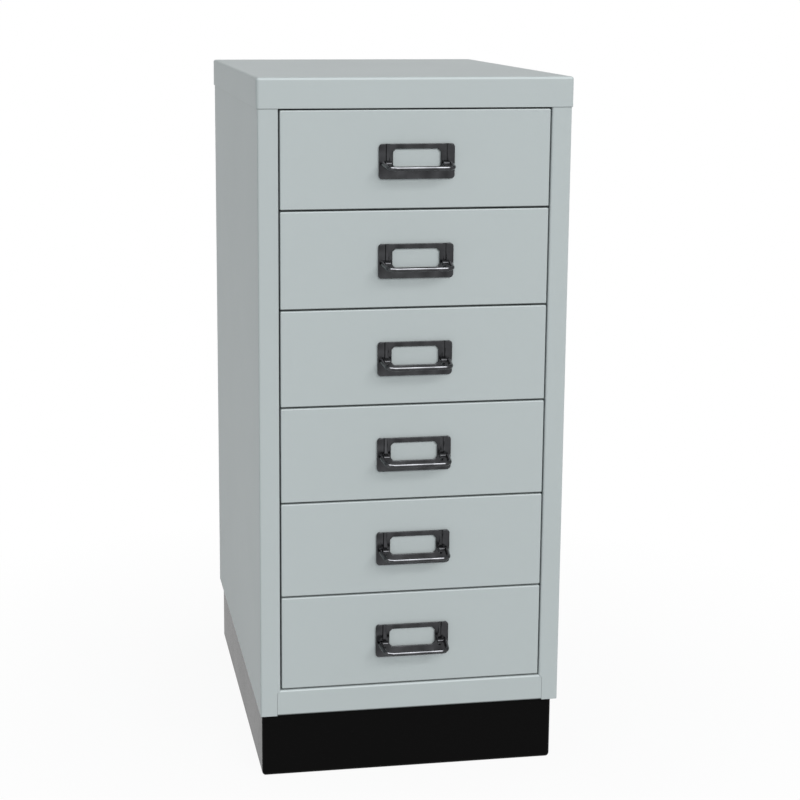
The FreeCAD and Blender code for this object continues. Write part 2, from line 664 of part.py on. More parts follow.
def card_frame(position):
    """Pressed card frame with its window, ribs, lower band, bow lugs and the tabs behind."""
    label = f"drawer_{position}_card_frame"
    body = new_body(label)
    half = "Sizes.frame_width / 2"
    plate = new_sketch(body, label + "_plate", "XZ", "Places.front_y")
    rectangle(plate, f"-{half}", half, "Places.frame_low", "Places.frame_top")
    pad(body, plate, "Sizes.card_gap + Sizes.frame_sheet")
    corners = [(x, z) for x in (f"-{half}", half) for z in ("Places.frame_low", "Places.frame_top")]
    round_edges(body, along_y_at(*corners), "Sizes.frame_corner")
    card = new_sketch(body, label + "_card_slot", "XZ", "Places.front_y")
    rectangle(card, f"-({half} - Sizes.frame_corner)", f"{half} - Sizes.frame_corner",
              "Places.frame_low + Sizes.frame_rim", "Places.frame_top + Sizes.overrun")
    pocket(body, card, "Sizes.card_gap", along=True)
    view = new_sketch(body, label + "_window", "XZ", "Places.front_y")
    wide = "Places.window_half"
    rectangle(view, f"-{wide}", wide, "Places.window_low", "Places.window_top")
    pocket(body, view, "Sizes.card_gap + Sizes.frame_sheet + Sizes.overrun", along=True)
    corners = [(x, z) for x in (f"-{wide}", wide) for z in ("Places.window_low", "Places.window_top")]
    round_edges(body, along_y_at(*corners), "Sizes.window_corner")
    raised = new_sketch(body, label + "_ribs", "XZ", "Places.frame_face + Sizes.frame_sheet / 2")
    outer = "(Places.rib_x + Sizes.rib_width / 2)"
    inner = "(Places.rib_x - Sizes.rib_width / 2)"
    high = "Places.frame_top - Sizes.rib_height"
    low = "(Places.frame_low + Places.window_low - Sizes.band_height) / 2"
    outline(raised, [(f"-{outer}", high), (f"-{outer}", low), (outer, low), (outer, high),
                     (inner, high), (inner, f"{low} + Sizes.band_height"),
                     (f"-{inner}", f"{low} + Sizes.band_height"), (f"-{inner}", high)])
    pad(body, raised, "Sizes.rib_height + Sizes.frame_sheet / 2")
    lugs = new_sketch(body, label + "_lugs", "XZ", "Places.frame_face + Sizes.frame_sheet / 2")
    wire = "Places.wire_height"
    shoulder = f"{wire} - Sizes.wire_diameter / 2"
    for middle in ("Places.rib_x", "-Places.rib_x"):
        left = f"{middle} - Sizes.lug_width / 2"
        right = f"{middle} + Sizes.lug_width / 2"
        top = f"{wire} + Sizes.lug_shoulder"
        outline(lugs, [(left, top), (left, shoulder), (middle, f"{wire} - Sizes.lug_point"),
                       (right, shoulder), (right, top)])
    pad(body, lugs, "Places.frame_face + Sizes.frame_sheet / 2 - Places.lug_face")
    bevel_edges(body, in_plane_y("Places.lug_face"), "Sizes.lug_bevel")
    bores = new_sketch(body, label + "_lug_bores", "YZ", f"-{half}")
    wire_section(bores, "Places.wire_y", wire, "(Sizes.wire_diameter + 2 * Sizes.wire_gap)")
    pocket(body, bores, "Sizes.frame_width", along=True)
    tabs = new_sketch(body, label + "_tabs", "XY", "Places.frame_middle - Sizes.tab_height / 2")
    inner = "Places.front_y + Sizes.front_sheet"
    near = "Places.tab_x - Sizes.frame_sheet / 2"
    far = "Places.tab_x + Sizes.frame_sheet / 2"
    tab = [
        (near, "Places.frame_face + Sizes.frame_sheet / 2"),
        (far, "Places.frame_face + Sizes.frame_sheet / 2"),
        (far, inner),
        (f"{far} + Sizes.tab_foot", inner),
        (f"{far} + Sizes.tab_foot", f"{inner} + Sizes.frame_sheet"),
        (near, f"{inner} + Sizes.frame_sheet"),
    ]
    outline(tabs, tab)
    outline(tabs, mirrored(tab))
    pad(body, tabs, "Sizes.tab_height")
    lift(body, drawer_base(position))
    return body


def bow(position):
    """Wire bow: two ends held in the lugs, two arms and the bar, on one leaning plane."""
    label = f"drawer_{position}_bow"
    body = new_body(label)
    path = new_sketch(body, label + "_path", "XY")
    lean = "atan2(Sizes.bow_sag; Places.bar_reach)"
    path.AttachmentOffset = FreeCAD.Placement(Vector(), FreeCAD.Rotation(Vector(1, 0, 0), number(lean)))
    path.setExpression("AttachmentOffset.Rotation.Angle", lean)
    path.setExpression("AttachmentOffset.Base.y", "Places.wire_y")
    path.setExpression("AttachmentOffset.Base.z", "Places.wire_height")
    reach = "-sqrt(Places.bar_reach ^ 2 + Sizes.bow_sag ^ 2)"
    end = ("Places.wire_end", "0")
    root = ("Places.bow_root", "0")
    corner = ("Places.bow_half", reach)
    middle = ("0", reach)
    root_bend = bent(end, root, corner, "Sizes.bow_root_bend")
    bar_bend = bent(root, corner, middle, "Sizes.bow_bend")
    half = [end, *root_bend, *bar_bend]
    open_line(path, mirrored(half) + half[::-1])
    ring = new_sketch(body, label + "_section", "YZ", "-Places.wire_end")
    wire_section(ring, "Places.wire_y", "Places.wire_height", "Sizes.wire_diameter")
    wire = body.newObject("PartDesign::AdditivePipe", label + "_wire")
    wire.Profile = ring
    wire.Spine = (path, [])
    wire.Transition = "Right corner"
    lift(body, drawer_base(position))
    return body


def stops(position):
    """Two sliding blocks under the rear ends of the lips; they catch behind the stiles."""
    label = f"drawer_{position}_stops"
    outer = "Places.front_half + Sizes.stop_reach"
    under = "Places.tray_top - Sizes.tray_sheet"
    block = doc.addObject("Sketcher::SketchObject", label + "_profile")
    block.Placement = FreeCAD.Placement(Vector(), FreeCAD.Rotation(Vector(1, 0, 0), 90))
    block.setExpression("Placement.Base.y", "Places.stop_front")
    outline(block, [
        ("Places.tray_half", "Places.lip_low"),
        (outer, "Places.lip_low"),
        (outer, "Places.tray_top"),
        ("Places.front_half", "Places.tray_top"),
        ("Places.front_half", under),
        ("Places.tray_half", under),
    ])
    right = doc.addObject("Part::Extrusion", label + "_block")
    right.Base = block
    right.DirMode = "Normal"
    right.Reversed = True
    right.Solid = True
    right.setExpression("LengthFwd", "Sizes.stop_length")
    doc.recompute()
    eased = doc.addObject("Part::Chamfer", label + "_eased")
    eased.Base = right
    corner = number(outer)
    bevel = number("Sizes.stop_bevel")
    eased.Edges = [(k, bevel, bevel) for k, edge in enumerate(right.Shape.Edges, start=1)
                   if same(edge.BoundBox.XMin, corner)
                   and same(edge.BoundBox.YMin, edge.BoundBox.YMax)
                   and same(edge.BoundBox.XMin, edge.BoundBox.XMax)]
    left = doc.addObject("Part::Mirroring", label + "_mirror")
    left.Source = eased
    left.Normal = Vector(1, 0, 0)
    both = doc.addObject("Part::Compound", label)
    both.Links = [eased, left]
    lift(both, drawer_base(position))
    doc.recompute()
    return keep(both, label)


# Plinth and its fasteners


def bolt_spots():
    """The four bolts, left and right, front and back."""
    rows = ("Places.plinth_front_y + Sizes.bolt_rear_row", "Places.plinth_back_y - Sizes.bolt_rear_row")
    return [(x, y) for x in ("-Places.bolt_x", "Places.bolt_x") for y in rows]


def plinth_ring():
    """The whole plinth before it is divided at its welds: a channel ring, open in the middle."""
    body = doc.addObject("PartDesign::Body", "plinth_ring")
    sheet = "Sizes.plinth_sheet"
    half = "Places.plinth_half"
    front = "Places.plinth_front_y"
    back = "Places.plinth_back_y"

    def inset(by):
        return f"-({half} - {by})", f"{half} - {by}", f"{front} + {by}", f"{back} - {by}"

    block = new_sketch(body, "plinth_block", "XY")
    rectangle(block, f"-{half}", half, front, back)
    pad(body, block, "Sizes.plinth_height")
    round_edges(body, in_plane_z("0"), "Sizes.plinth_radius")
    top = number("Sizes.plinth_height")
    shell_out(body, lambda box: same(box.ZMin, top), sheet)
    flange = new_sketch(body, "plinth_top_flange", "XY", f"Sizes.plinth_height - {sheet}")
    rectangle(flange, *inset(f"{sheet} / 2"))
    rectangle(flange, *inset("Sizes.plinth_top_flange"))
    pad(body, flange, sheet)
    foot = new_sketch(body, "plinth_foot_opening", "XY")
    rectangle(foot, *inset("Sizes.plinth_foot_flange"))
    pocket(body, foot, f"{sheet} + Sizes.overrun", along=True)
    holes = new_sketch(body, "plinth_holes", "XY", "Sizes.plinth_height")
    for x, y in bolt_spots():
        circle(holes, x, y, "Sizes.bolt_diameter + 2 * Sizes.bolt_hole_gap")
    pocket(body, holes, f"{sheet} + Sizes.overrun")
    return body


def plinth_piece(label, ring, left, right, front, back):
    """The part of the ring that lies in one box."""
    box = doc.addObject("Part::Box", label + "_box")
    box.setExpression("Length", f"({right}) - ({left})")
    box.setExpression("Width", f"({back}) - ({front})")
    box.setExpression("Height", "Sizes.plinth_height")
    box.setExpression("Placement.Base.x", left)
    box.setExpression("Placement.Base.y", front)
    common = doc.addObject("Part::Common", label)
    common.Base = ring
    common.Tool = box
    doc.recompute()
    return keep(common, label)


def plinth():
    """End channels that turn the corners, and side channels between them."""
    ring = plinth_ring()
    half = "Places.plinth_half"
    front = "Places.plinth_front_y"
    back = "Places.plinth_back_y"
    front_seam = f"{front} + Sizes.plinth_corner_length"
    back_seam = f"{back} - Sizes.plinth_corner_length"
    plinth_piece("plinth_front", ring, f"-{half}", half, front, front_seam)
    plinth_piece("plinth_rear", ring, f"-{half}", half, back_seam, back)
    plinth_piece("plinth_left", ring, f"-{half}", "0", front_seam, back_seam)
    plinth_piece("plinth_right", ring, "0", half, front_seam, back_seam)


def hexagon(name, height):
    prism = doc.addObject("Part::Prism", name)
    prism.Polygon = 6
    prism.setExpression("Circumradius", "Places.hex_radius")
    prism.setExpression("Height", height)
    return prism


def four_of(label, make):
    """Four copies of a fastener at the bolt spots, as one group of separate solids."""
    copies = []
    for count, (x, y) in enumerate(bolt_spots(), start=1):
        piece = make(f"{label}_{count}")
        piece.setExpression("Placement.Base.x", x)
        piece.setExpression("Placement.Base.y", y)
        copies.append(piece)
    group = doc.addObject("Part::Compound", label)
    group.Links = copies
    doc.recompute()
    return keep(group, label)


def plinth_bolt(name):
    """Hexagon bolt, its head on the base panel."""
    head = hexagon(name + "_head", "Sizes.bolt_head_height")
    shank = doc.addObject("Part::Cylinder", name + "_shank")
    shank.setExpression("Radius", "Sizes.bolt_diameter / 2")
    shank.setExpression("Height", "Sizes.bolt_length + Sizes.bolt_head_height / 2")
    shank.setExpression("Placement.Base.z", "-Sizes.bolt_length")
    bolt = doc.addObject("Part::Fuse", name)
    bolt.Base = head
    bolt.Tool = shank
    lift(bolt, "Sizes.plinth_height + Sizes.carcass_sheet")
    return bolt


def plinth_nut(name):
    """Hexagon nut under the plinth's top flange."""
    block = hexagon(name + "_block", "Sizes.nut_height")
    bore = doc.addObject("Part::Cylinder", name + "_bore")
    bore.setExpression("Radius", "Sizes.bolt_diameter / 2 + Sizes.nut_gap")
    bore.setExpression("Height", "Sizes.nut_height + 2 * Sizes.overrun")
    bore.setExpression("Placement.Base.z", "-Sizes.overrun")
    nut = doc.addObject("Part::Cut", name)
    nut.Base = block
    nut.Tool = bore
    lift(nut, "Sizes.plinth_height - Sizes.plinth_sheet - Sizes.nut_height")
    return nut


# Assembly


def build():
    side_panel("side_left", -1)
    side_panel("side_right", 1)
    bottom_rail()
    front_rail("top_rail", "(Places.skirt_low + Sizes.rail_drop)", "Places.cover_under", "Places.rail_half")
    back_panel()
    base_panel()
    top_cover()
    plinth()
    four_of("plinth_bolts", plinth_bolt)
    four_of("plinth_nuts", plinth_nut)
    for position in range(1, DRAWERS + 1):
        runner(position, "left", -1)
        runner(position, "right", 1)
        drawer_tray(position)
        drawer_front(position)
        card_frame(position)
        bow(position)
        stops(position)


def check():
    """Stops if an object failed or a piece has no sound solid."""
    for thing in doc.Objects:
        if "Invalid" in thing.State or "Error" in thing.State:
            raise RuntimeError(f"{thing.Label} did not recompute: {thing.State}")
    for piece in pieces:
        shape = piece.Shape
        if shape.isNull() or not shape.isValid() or not shape.Solids:
            raise RuntimeError(f"{piece.Label} has no valid solid")


def export():
    os.makedirs("parts", exist_ok=True)
    for piece in pieces:
        piece.Shape.exportStep(os.path.join("parts", piece.Label + ".step"))
        print(piece.Label, len(piece.Shape.Solids), "solids", round(piece.Shape.Volume), "mm3")
    print("Each drawer slides out", round(number("Places.travel"), DECIMALS), "mm")


build()
doc.recompute()
check()
export()
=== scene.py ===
"""Looks of a small six-drawer metal cabinet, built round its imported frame.

The frame's sheet-metal nodes get their enamel, zinc and nylon. The cover, the drawer fronts, the plinth,
the card frames and the bows are made finer here, each in the place of the node that it stands for.
Metres throughout, +Z up, and the drawers open towards -Y."""

import json
import math

import bmesh
import bpy
from bpy.props import FloatProperty, FloatVectorProperty, IntProperty, PointerProperty
from mathutils import Matrix, Vector
from mathutils.geometry import delaunay_2d_cdt

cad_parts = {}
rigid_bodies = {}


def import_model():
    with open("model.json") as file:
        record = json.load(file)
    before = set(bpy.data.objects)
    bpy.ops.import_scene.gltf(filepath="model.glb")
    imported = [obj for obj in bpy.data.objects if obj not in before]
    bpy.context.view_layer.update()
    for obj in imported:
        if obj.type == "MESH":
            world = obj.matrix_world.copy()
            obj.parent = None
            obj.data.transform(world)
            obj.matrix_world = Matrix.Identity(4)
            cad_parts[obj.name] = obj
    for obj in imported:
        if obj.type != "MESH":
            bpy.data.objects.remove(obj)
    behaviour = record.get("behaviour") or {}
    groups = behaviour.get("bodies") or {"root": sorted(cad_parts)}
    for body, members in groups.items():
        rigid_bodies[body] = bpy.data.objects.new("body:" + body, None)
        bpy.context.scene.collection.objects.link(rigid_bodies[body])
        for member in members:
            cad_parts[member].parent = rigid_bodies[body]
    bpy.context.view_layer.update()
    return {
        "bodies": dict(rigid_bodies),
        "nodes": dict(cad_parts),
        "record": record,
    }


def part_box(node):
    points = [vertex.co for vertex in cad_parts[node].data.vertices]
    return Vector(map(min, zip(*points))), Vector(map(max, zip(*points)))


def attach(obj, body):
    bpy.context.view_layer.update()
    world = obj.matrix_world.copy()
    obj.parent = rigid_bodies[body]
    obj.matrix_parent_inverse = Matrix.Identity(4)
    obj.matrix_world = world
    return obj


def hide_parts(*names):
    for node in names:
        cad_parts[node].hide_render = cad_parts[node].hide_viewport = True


bl_info = {
    "name": "Drawer cabinet",
    "version": (1, 0, 0),
    "blender": (4, 5, 0),
    "location": "3D View > Sidebar > Cabinet",
    "description": "Finishes and finer sheet-metal pieces for a small six-drawer cabinet",
    "category": "Object",
}

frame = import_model()

DRAWERS = sorted(body for body in frame["bodies"] if body.startswith("drawer_"))
CARCASS = "carcass"
PLINTH_ENDS = {"plinth_front": -1, "plinth_rear": 1}
PLINTH_SIDES = ("plinth_left", "plinth_right")

QUARTER = math.pi / 2
SHARP_FOLD = math.radians(32)
BEND_STEPS = 6
FOLD_STEPS = 4
EDGE_STEPS = 3


# Sizes and colours that a user would change

def length(name, description, default, least=0.0):
    """A size in metres, shown in the scene's unit of length."""
    return FloatProperty(name=name, description=description, default=default, min=least, unit="LENGTH",
                         precision=5)


def share(name, description, default):
    """A number from 0 to 1."""
    return FloatProperty(name=name, description=description, default=default, min=0.0, max=1.0,
                         subtype="FACTOR")


def colour(name, description, default):
    """A linear colour."""
    return FloatVectorProperty(name=name, description=description, default=default, size=3, min=0.0,
                               max=1.0, subtype="COLOR")


class CabinetFinish(bpy.types.PropertyGroup):
    """Colours and gloss of the enamels and metals, with the painted highlight and painted shade on the
    enamel's bends.
    """

    grey: colour("Grey enamel", "Colour of the body and the drawers", (0.490, 0.529, 0.531))
    grey_roughness: share("Grey roughness", "Roughness of the grey enamel", 0.42)
    grey_specular: share("Grey gloss", "Specular level of the grey enamel", 0.22)
    black: colour("Black enamel", "Colour of the plinth", (0.0020, 0.0019, 0.0019))
    black_roughness: share("Black roughness", "Roughness of the black enamel", 0.24)
    black_specular: share("Black gloss", "Specular level of the black enamel", 0.05)
    # Plating colour painted dark: a painted reflection of dark surroundings, not the metal's own colour
    plate: colour("Dark plating", "Colour of card frames and bows", (0.050, 0.051, 0.054))
    plate_roughness: share("Plating roughness", "Roughness of the plating", 0.14)
    zinc: colour("Zinc", "Colour of runners, bolts and nuts", (0.47, 0.48, 0.49))
    zinc_roughness: share("Zinc roughness", "Roughness of the zinc", 0.36)
    nylon: colour("Nylon", "Colour of the stop blocks", (0.72, 0.70, 0.62))
    nylon_roughness: share("Nylon roughness", "Roughness of the stop blocks", 0.55)
    # Painted highlight on the enamel's upper bends and painted shade on its lower bends, as lighter and
    # darker base colour
    bend_highlight: share("Painted bend highlight", "How much lighter the enamel's upper bends are", 0.42)
    bend_shade: share("Painted bend shade", "How much darker the enamel's lower bends are", 0.9)
    grain: length("Orange peel", "Height of the enamel's faint ripple", 0.000025)


class CabinetCover(bpy.types.PropertyGroup):
    """Sizes of the cover."""

    sheet: length("Sheet", "Thickness of the cover", 0.0009, 0.0004)
    bend: length("Bend", "Outer radius of the cover's top edges", 0.0024, 0.001)
    corner: length("Corner", "Radius of its upright corners", 0.0030, 0.001)
    lower_edge: length("Lower edge", "Rounding of the skirt's lower edge", 0.0004, 0.0001)


class CabinetFront(bpy.types.PropertyGroup):
    """Sizes of a boxed drawer front."""

    sheet: length("Sheet", "Thickness of the skin", 0.0009, 0.0004)
    bend: length("Bend", "Outer radius round the face", 0.0011, 0.0005)
    rear_bend: length("Rear bend", "Outer radius of the folds behind", 0.0010, 0.0005)
    corner: length("Corner", "Radius of the face's corners", 0.0012, 0.0005)
    hem: length("Hem", "Width of the folds behind", 0.010, 0.002)


class CabinetPlinth(bpy.types.PropertyGroup):
    """Sizes of the plinth's channels."""

    sheet: length("Sheet", "Thickness of the plinth", 0.0012, 0.0005)
    top_flange: length("Top flange", "Width of the fold under the body", 0.025, 0.01)
    foot_flange: length("Foot flange", "Width of the fold on the floor", 0.016, 0.006)
    fold: length("Lower fold", "Outer radius of the fold on the floor", 0.004, 0.002)
    top_fold: length("Upper fold", "Outer radius of the fold under the body", 0.0018, 0.0013)
    corner: length("Corner", "Outer radius of the upright corners", 0.0032, 0.0013)


class CabinetCardFrame(bpy.types.PropertyGroup):
    """Sizes of a card frame, with heights above the lower edge of its drawer front."""

    sheet: length("Sheet", "Thickness of the plate", 0.001, 0.0004)
    slot: length("Card slot", "Room for the card behind the plate", 0.0014)
    corner: length("Corner", "Radius of the plate's corners", 0.0032, 0.001)
    height: length("Height", "From the plate's lower edge to its top", 0.0306, 0.01)
    edge: length("Edge", "Rounding of the plate's outer edge", 0.0005, 0.0002)
    rim: length("Lower rim", "Rim under the card slot", 0.0012)
    window_width: length("Window width", "Opening that shows the card", 0.042)
    window_height: length("Window height", "Opening that shows the card", 0.0166)
    window_margin: length("Window margin", "From the window to the plate's top", 0.0044)
    window_corner: length("Window corner", "Cut corners of the window", 0.0026, 0.001)
    window_edge: length("Window edge", "Rounding of the window's edge", 0.00055, 0.0001)
    rib_x: length("Ribs", "Middle of a rib and of a lug from the middle plane", 0.0255)
    groove_x: length("Groove place", "Middle of a groove from the middle plane", 0.0268)
    groove_width: length("Groove width", "Pressed groove over a lug", 0.0016, 0.0004)
    groove_depth: length("Groove depth", "How far the groove is pressed in", 0.0006)
    flank_width: length("Flank width", "Bead on the inner side of a groove", 0.0024, 0.0004)
    flank_height: length("Flank height", "How far the bead stands out", 0.0006)
    band_width: length("Band width", "Band under the window", 0.0055, 0.001)
    band_height: length("Band height", "How far the band stands out", 0.0002)
    lug_width: length("Lug width", "Lug that holds one end of the bow", 0.0056, 0.001)
    lug_wrap: length("Lug sheet", "Sheet of the lug over the wire", 0.0009, 0.0003)
    lug_point: length("Lug point", "Pointed end of a lug below the wire", 0.0043)
    pocket_gap: length("Pocket gap", "Opening in the plate round a lug's point", 0.0008, 0.0002)
    tab_inset: length("Tab inset", "From the plate's end to the middle of its tab", 0.0055, 0.002)
    tab_height: length("Tab height", "Tab that holds the plate", 0.006, 0.001)
    tab_foot: length("Tab foot", "Bent end of a tab inside the drawer front", 0.0045, 0.001)


class CabinetBow(bpy.types.PropertyGroup):
    """Sizes of a wire bow."""

    wire: length("Wire", "Diameter of the wire", 0.0038, 0.001)
    root_bend: length("Root bend", "Tangent length of the bend beside a lug", 0.0021, 0.0005)
    bar_bend: length("Bar bend", "Tangent length of the bend between arm and bar", 0.0068, 0.001)
    taper: length("Taper", "How far an arm leans inwards", 0.0023)
    sag: length("Sag", "How far the bar hangs below the wire's ends", 0.002)
    sides: IntProperty(name="Sides", description="Flat sides of the wire's section", default=24, min=8)


class CabinetStudio(bpy.types.PropertyGroup):
    """Light of the stage."""

    ambient: FloatProperty(name="Ambient", description="Strength of the world's light", default=0.315)
    key: FloatProperty(name="Key", description="Radiance of the broad lamp in front", default=7.8)
    key_width: length("Key width", "Width of the broad lamp", 9.2)
    key_height: length("Key height", "Height of the broad lamp", 4.0)
    key_distance: length("Key distance", "From the cabinet to the broad lamp", 12.0)
    sheen: FloatProperty(name="Metal lamp", description="Radiance of the lamp for the plating", default=17.0)
    sheen_width: length("Metal lamp width", "Width of the lamp for the plating", 3.4)
    sheen_height: length("Metal lamp height", "Height of the lamp for the plating", 1.3)
    sheen_distance: length("Metal lamp distance", "From the cabinet to the lamp for the plating", 2.2)
    glow: FloatProperty(name="Floor light", description="Radiance of the light from the floor", default=0.5)
    glow_width: length("Floor light width", "Width of the light from the floor", 1.2)
    glow_height: length("Floor light height", "Height of the light from the floor", 0.16)
    glow_distance: length("Floor light distance", "From the cabinet to the light from the floor", 0.8)
    floor_shown: share("Floor shown", "Share of the floor's colour that takes no shadow", 0.94)
    shadow_reach: length("Shadow reach", "From the cabinet's middle to where its shadow ends", 0.65)


GROUPS = {
    "cabinet_finish": CabinetFinish,
    "cabinet_cover": CabinetCover,
    "cabinet_front": CabinetFront,
    "cabinet_plinth": CabinetPlinth,
    "cabinet_card_frame": CabinetCardFrame,
    "cabinet_bow": CabinetBow,
    "cabinet_studio": CabinetStudio,
}


# Mesh helpers

def new_piece(name, mesh, material):
    """An object that holds the mesh, with its finish."""
    piece = bpy.data.objects.new(name, mesh)
    bpy.context.scene.collection.objects.link(piece)
    if not mesh.materials:
        mesh.materials.append(material)
    return piece


def mesh_of(bm, name):
    """The finished mesh of bm, with smooth faces that break at folds."""
    bmesh.ops.recalc_face_normals(bm, faces=bm.faces)
    mesh = bpy.data.meshes.new(name)
    bm.to_mesh(mesh)
    bm.free()
    mesh.shade_smooth()
    mesh.set_sharp_from_angle(angle=SHARP_FOLD)
    return mesh


def tube(bm, rows):
    """Quads between closed rows of points, with the first and the last row filled."""
    loops = [[bm.verts.new(point) for point in row] for row in rows]
    for one, other in zip(loops, loops[1:]):
        for n in range(len(one)):
            after = (n + 1) % len(one)
            bm.faces.new((one[n], one[after], other[after], other[n]))
    bm.faces.new(loops[0])
    bm.faces.new(loops[-1])


def tube_mesh(name, rows):
    """The mesh of one tube."""
    bm = bmesh.new()
    tube(bm, rows)
    return mesh_of(bm, name)


def arc(centre, radius, start, end, steps):
    """Points on an arc between two angles, in radians."""
    turns = [start + (end - start) * n / steps for n in range(steps + 1)]
    return [(centre[0] + radius * math.cos(t), centre[1] + radius * math.sin(t)) for t in turns]


def section_arc(inset, height, radius, start, end, steps):
    """A bend in a sheet's section, as pairs: how far in from the face, and the height."""
    return [(inset - x, height + z) for x, z in arc((0, 0), radius, start, end, steps)]


def rounded_loop(low, high, radius, steps):
    """A rounded rectangle from its lower right corner on, anticlockwise."""
    spots = (
        ((high[0] - radius, low[1] + radius), -QUARTER),
        ((high[0] - radius, high[1] - radius), 0.0),
        ((low[0] + radius, high[1] - radius), QUARTER),
        ((low[0] + radius, low[1] + radius), 2 * QUARTER),
    )
    return [point for centre, start in spots for point in arc(centre, radius, start, start + QUARTER, steps)]


def fillet(before, corner, after, reach, steps):
    """Points of the round bend that replaces a corner, which begins and ends at reach from it."""
    back = (before - corner).normalized()
    on = (after - corner).normalized()
    half = back.angle(on) / 2
    radius = reach * math.tan(half)
    middle = (back + on).normalized()
    centre = corner + middle * (reach / math.cos(half))
    first = (corner + back * reach - centre).normalized()
    last = (corner + on * reach - centre).normalized()
    turn = first.angle(last)
    points = []
    for n in range(steps + 1):
        share_done = n / steps
        blend = first * math.sin((1 - share_done) * turn) + last * math.sin(share_done * turn)
        points.append(centre + blend / math.sin(turn) * radius)
    return points


def sweep(bm, line, sections, across):
    """A solid along a flat line of points. sections gives, for each point, its outline as pairs: how far
    to the line's side, within its plane, and how far along across, which is square to the plane."""
    ways = [(after - before).normalized() for before, after in zip(line, line[1:])]
    rows = []
    for point, before, after, section in zip(line, [ways[0], *ways], [*ways, ways[-1]], sections):
        side = (before + after).normalized().cross(across)
        rows.append([point + side * s + across * t for s, t in section])
    tube(bm, rows)


def round_section(radius, sides):
    """The outline of a round wire."""
    turns = [2 * math.pi * n / sides for n in range(sides)]
    return [(radius * math.cos(t), radius * math.sin(t)) for t in turns]


def strip_section(thick, wide, edge):
    """The outline of a flat strip with rounded edges, thick to its side and wide across."""
    return rounded_loop((-thick / 2, -wide / 2), (thick / 2, wide / 2), edge, EDGE_STEPS)


# Shader nodes, with the groups that finishes share

SMEARS_PER_METRE = 18.0
SPOTS_PER_METRE = 260.0
BEND_GLOSS_SHARE = 0.4


def feed(tree, socket, value):
    """Links a socket to another one, or gives it a plain value."""
    if isinstance(value, bpy.types.NodeSocket):
        tree.links.new(value, socket)
    else:
        socket.default_value = value


def new_group(name, inputs, outputs):
    """An empty shader node group with its sockets. Returns it and its input and output nodes."""
    group = bpy.data.node_groups.new(name, "ShaderNodeTree")
    for label, kind, default in inputs:
        socket = group.interface.new_socket(name=label, in_out="INPUT", socket_type=kind)
        if default is not None:
            socket.default_value = default
    for label, kind in outputs:
        group.interface.new_socket(name=label, in_out="OUTPUT", socket_type=kind)
    return group, group.nodes.new("NodeGroupInput"), group.nodes.new("NodeGroupOutput")


def add_math(tree, operation, one, other):
    """A Math node's result. Inputs are sockets or numbers."""
    node = tree.nodes.new("ShaderNodeMath")
    node.operation = operation
    feed(tree, node.inputs[0], one)
    feed(tree, node.inputs[1], other)
    return node.outputs[0]


def add_scaled(tree, colour_from, factor):
    """A colour times a number, both from sockets."""
    node = tree.nodes.new("ShaderNodeVectorMath")
    node.operation = "SCALE"
    feed(tree, node.inputs[0], colour_from)
    feed(tree, node.inputs["Scale"], factor)
    return node.outputs[0]


def add_noise(tree, vector, scale, detail=2.0, roughness=0.5):
    """A noise texture's value. scale is a socket or a number."""
    node = tree.nodes.new("ShaderNodeTexNoise")
    feed(tree, node.inputs["Vector"], vector)
    feed(tree, node.inputs["Scale"], scale)
    feed(tree, node.inputs["Detail"], detail)
    feed(tree, node.inputs["Roughness"], roughness)
    return node.outputs["Fac"]


def add_group(tree, name, make, values):
    """A group's node, with its values by their inputs' names. The group itself is built once."""
    node = tree.nodes.new("ShaderNodeGroup")
    node.node_tree = bpy.data.node_groups.get(name) or make()
    for label, value in values.items():
        feed(tree, node.inputs[label], value)
    return node


def ripple_group():
    """Height of the soft ripple that sprayed or plated surfaces have, with fine specks in it."""
    group, into, out = new_group(
        "Surface ripple",
        (("Vector", "NodeSocketVector", None), ("Ripples per metre", "NodeSocketFloat", 420.0),
         ("Specks per metre", "NodeSocketFloat", 2400.0), ("Specks", "NodeSocketFloat", 0.2)),
        (("Height", "NodeSocketFloat"),),
    )
    soft = add_noise(group, into.outputs["Vector"], into.outputs["Ripples per metre"], 1.0)
    fine = add_noise(group, into.outputs["Vector"], into.outputs["Specks per metre"])
    specks = add_math(group, "MULTIPLY", fine, into.outputs["Specks"])
    group.links.new(add_math(group, "ADD", soft, specks), out.inputs["Height"])
    return group


def drift_group():
    """A colour that drifts a little lighter and darker over a hand's breadth, with finer mottling."""
    group, into, out = new_group(
        "Tone drift",
        (("Vector", "NodeSocketVector", None), ("Color", "NodeSocketColor", None),
         ("Drifts per metre", "NodeSocketFloat", 7.0), ("Amount", "NodeSocketFloat", 0.03)),
        (("Color", "NodeSocketColor"),),
    )
    broad = add_noise(group, into.outputs["Vector"], into.outputs["Drifts per metre"], 3.0)
    spread = add_math(group, "SUBTRACT", broad, 0.5)
    amount = add_math(group, "MULTIPLY", spread, into.outputs["Amount"])
    factor = add_math(group, "ADD", add_math(group, "MULTIPLY", amount, 2.0), 1.0)
    group.links.new(add_scaled(group, into.outputs["Color"], factor), out.inputs["Color"])
    return group


def gloss_group():
    """Roughness that varies with handling: broad smears and small dull spots."""
    group, into, out = new_group(
        "Gloss spread",
        (("Vector", "NodeSocketVector", None), ("Roughness", "NodeSocketFloat", 0.4),
         ("Amount", "NodeSocketFloat", 0.06)),
        (("Roughness", "NodeSocketFloat"),),
    )
    smears = add_noise(group, into.outputs["Vector"], SMEARS_PER_METRE, 4.0, 0.6)
    spots = add_noise(group, into.outputs["Vector"], SPOTS_PER_METRE)
    both = add_math(group, "ADD", smears, spots)
    spread = add_math(group, "MULTIPLY", add_math(group, "SUBTRACT", both, 1.0), into.outputs["Amount"])
    group.links.new(add_math(group, "ADD", into.outputs["Roughness"], spread), out.inputs["Roughness"])
    return group


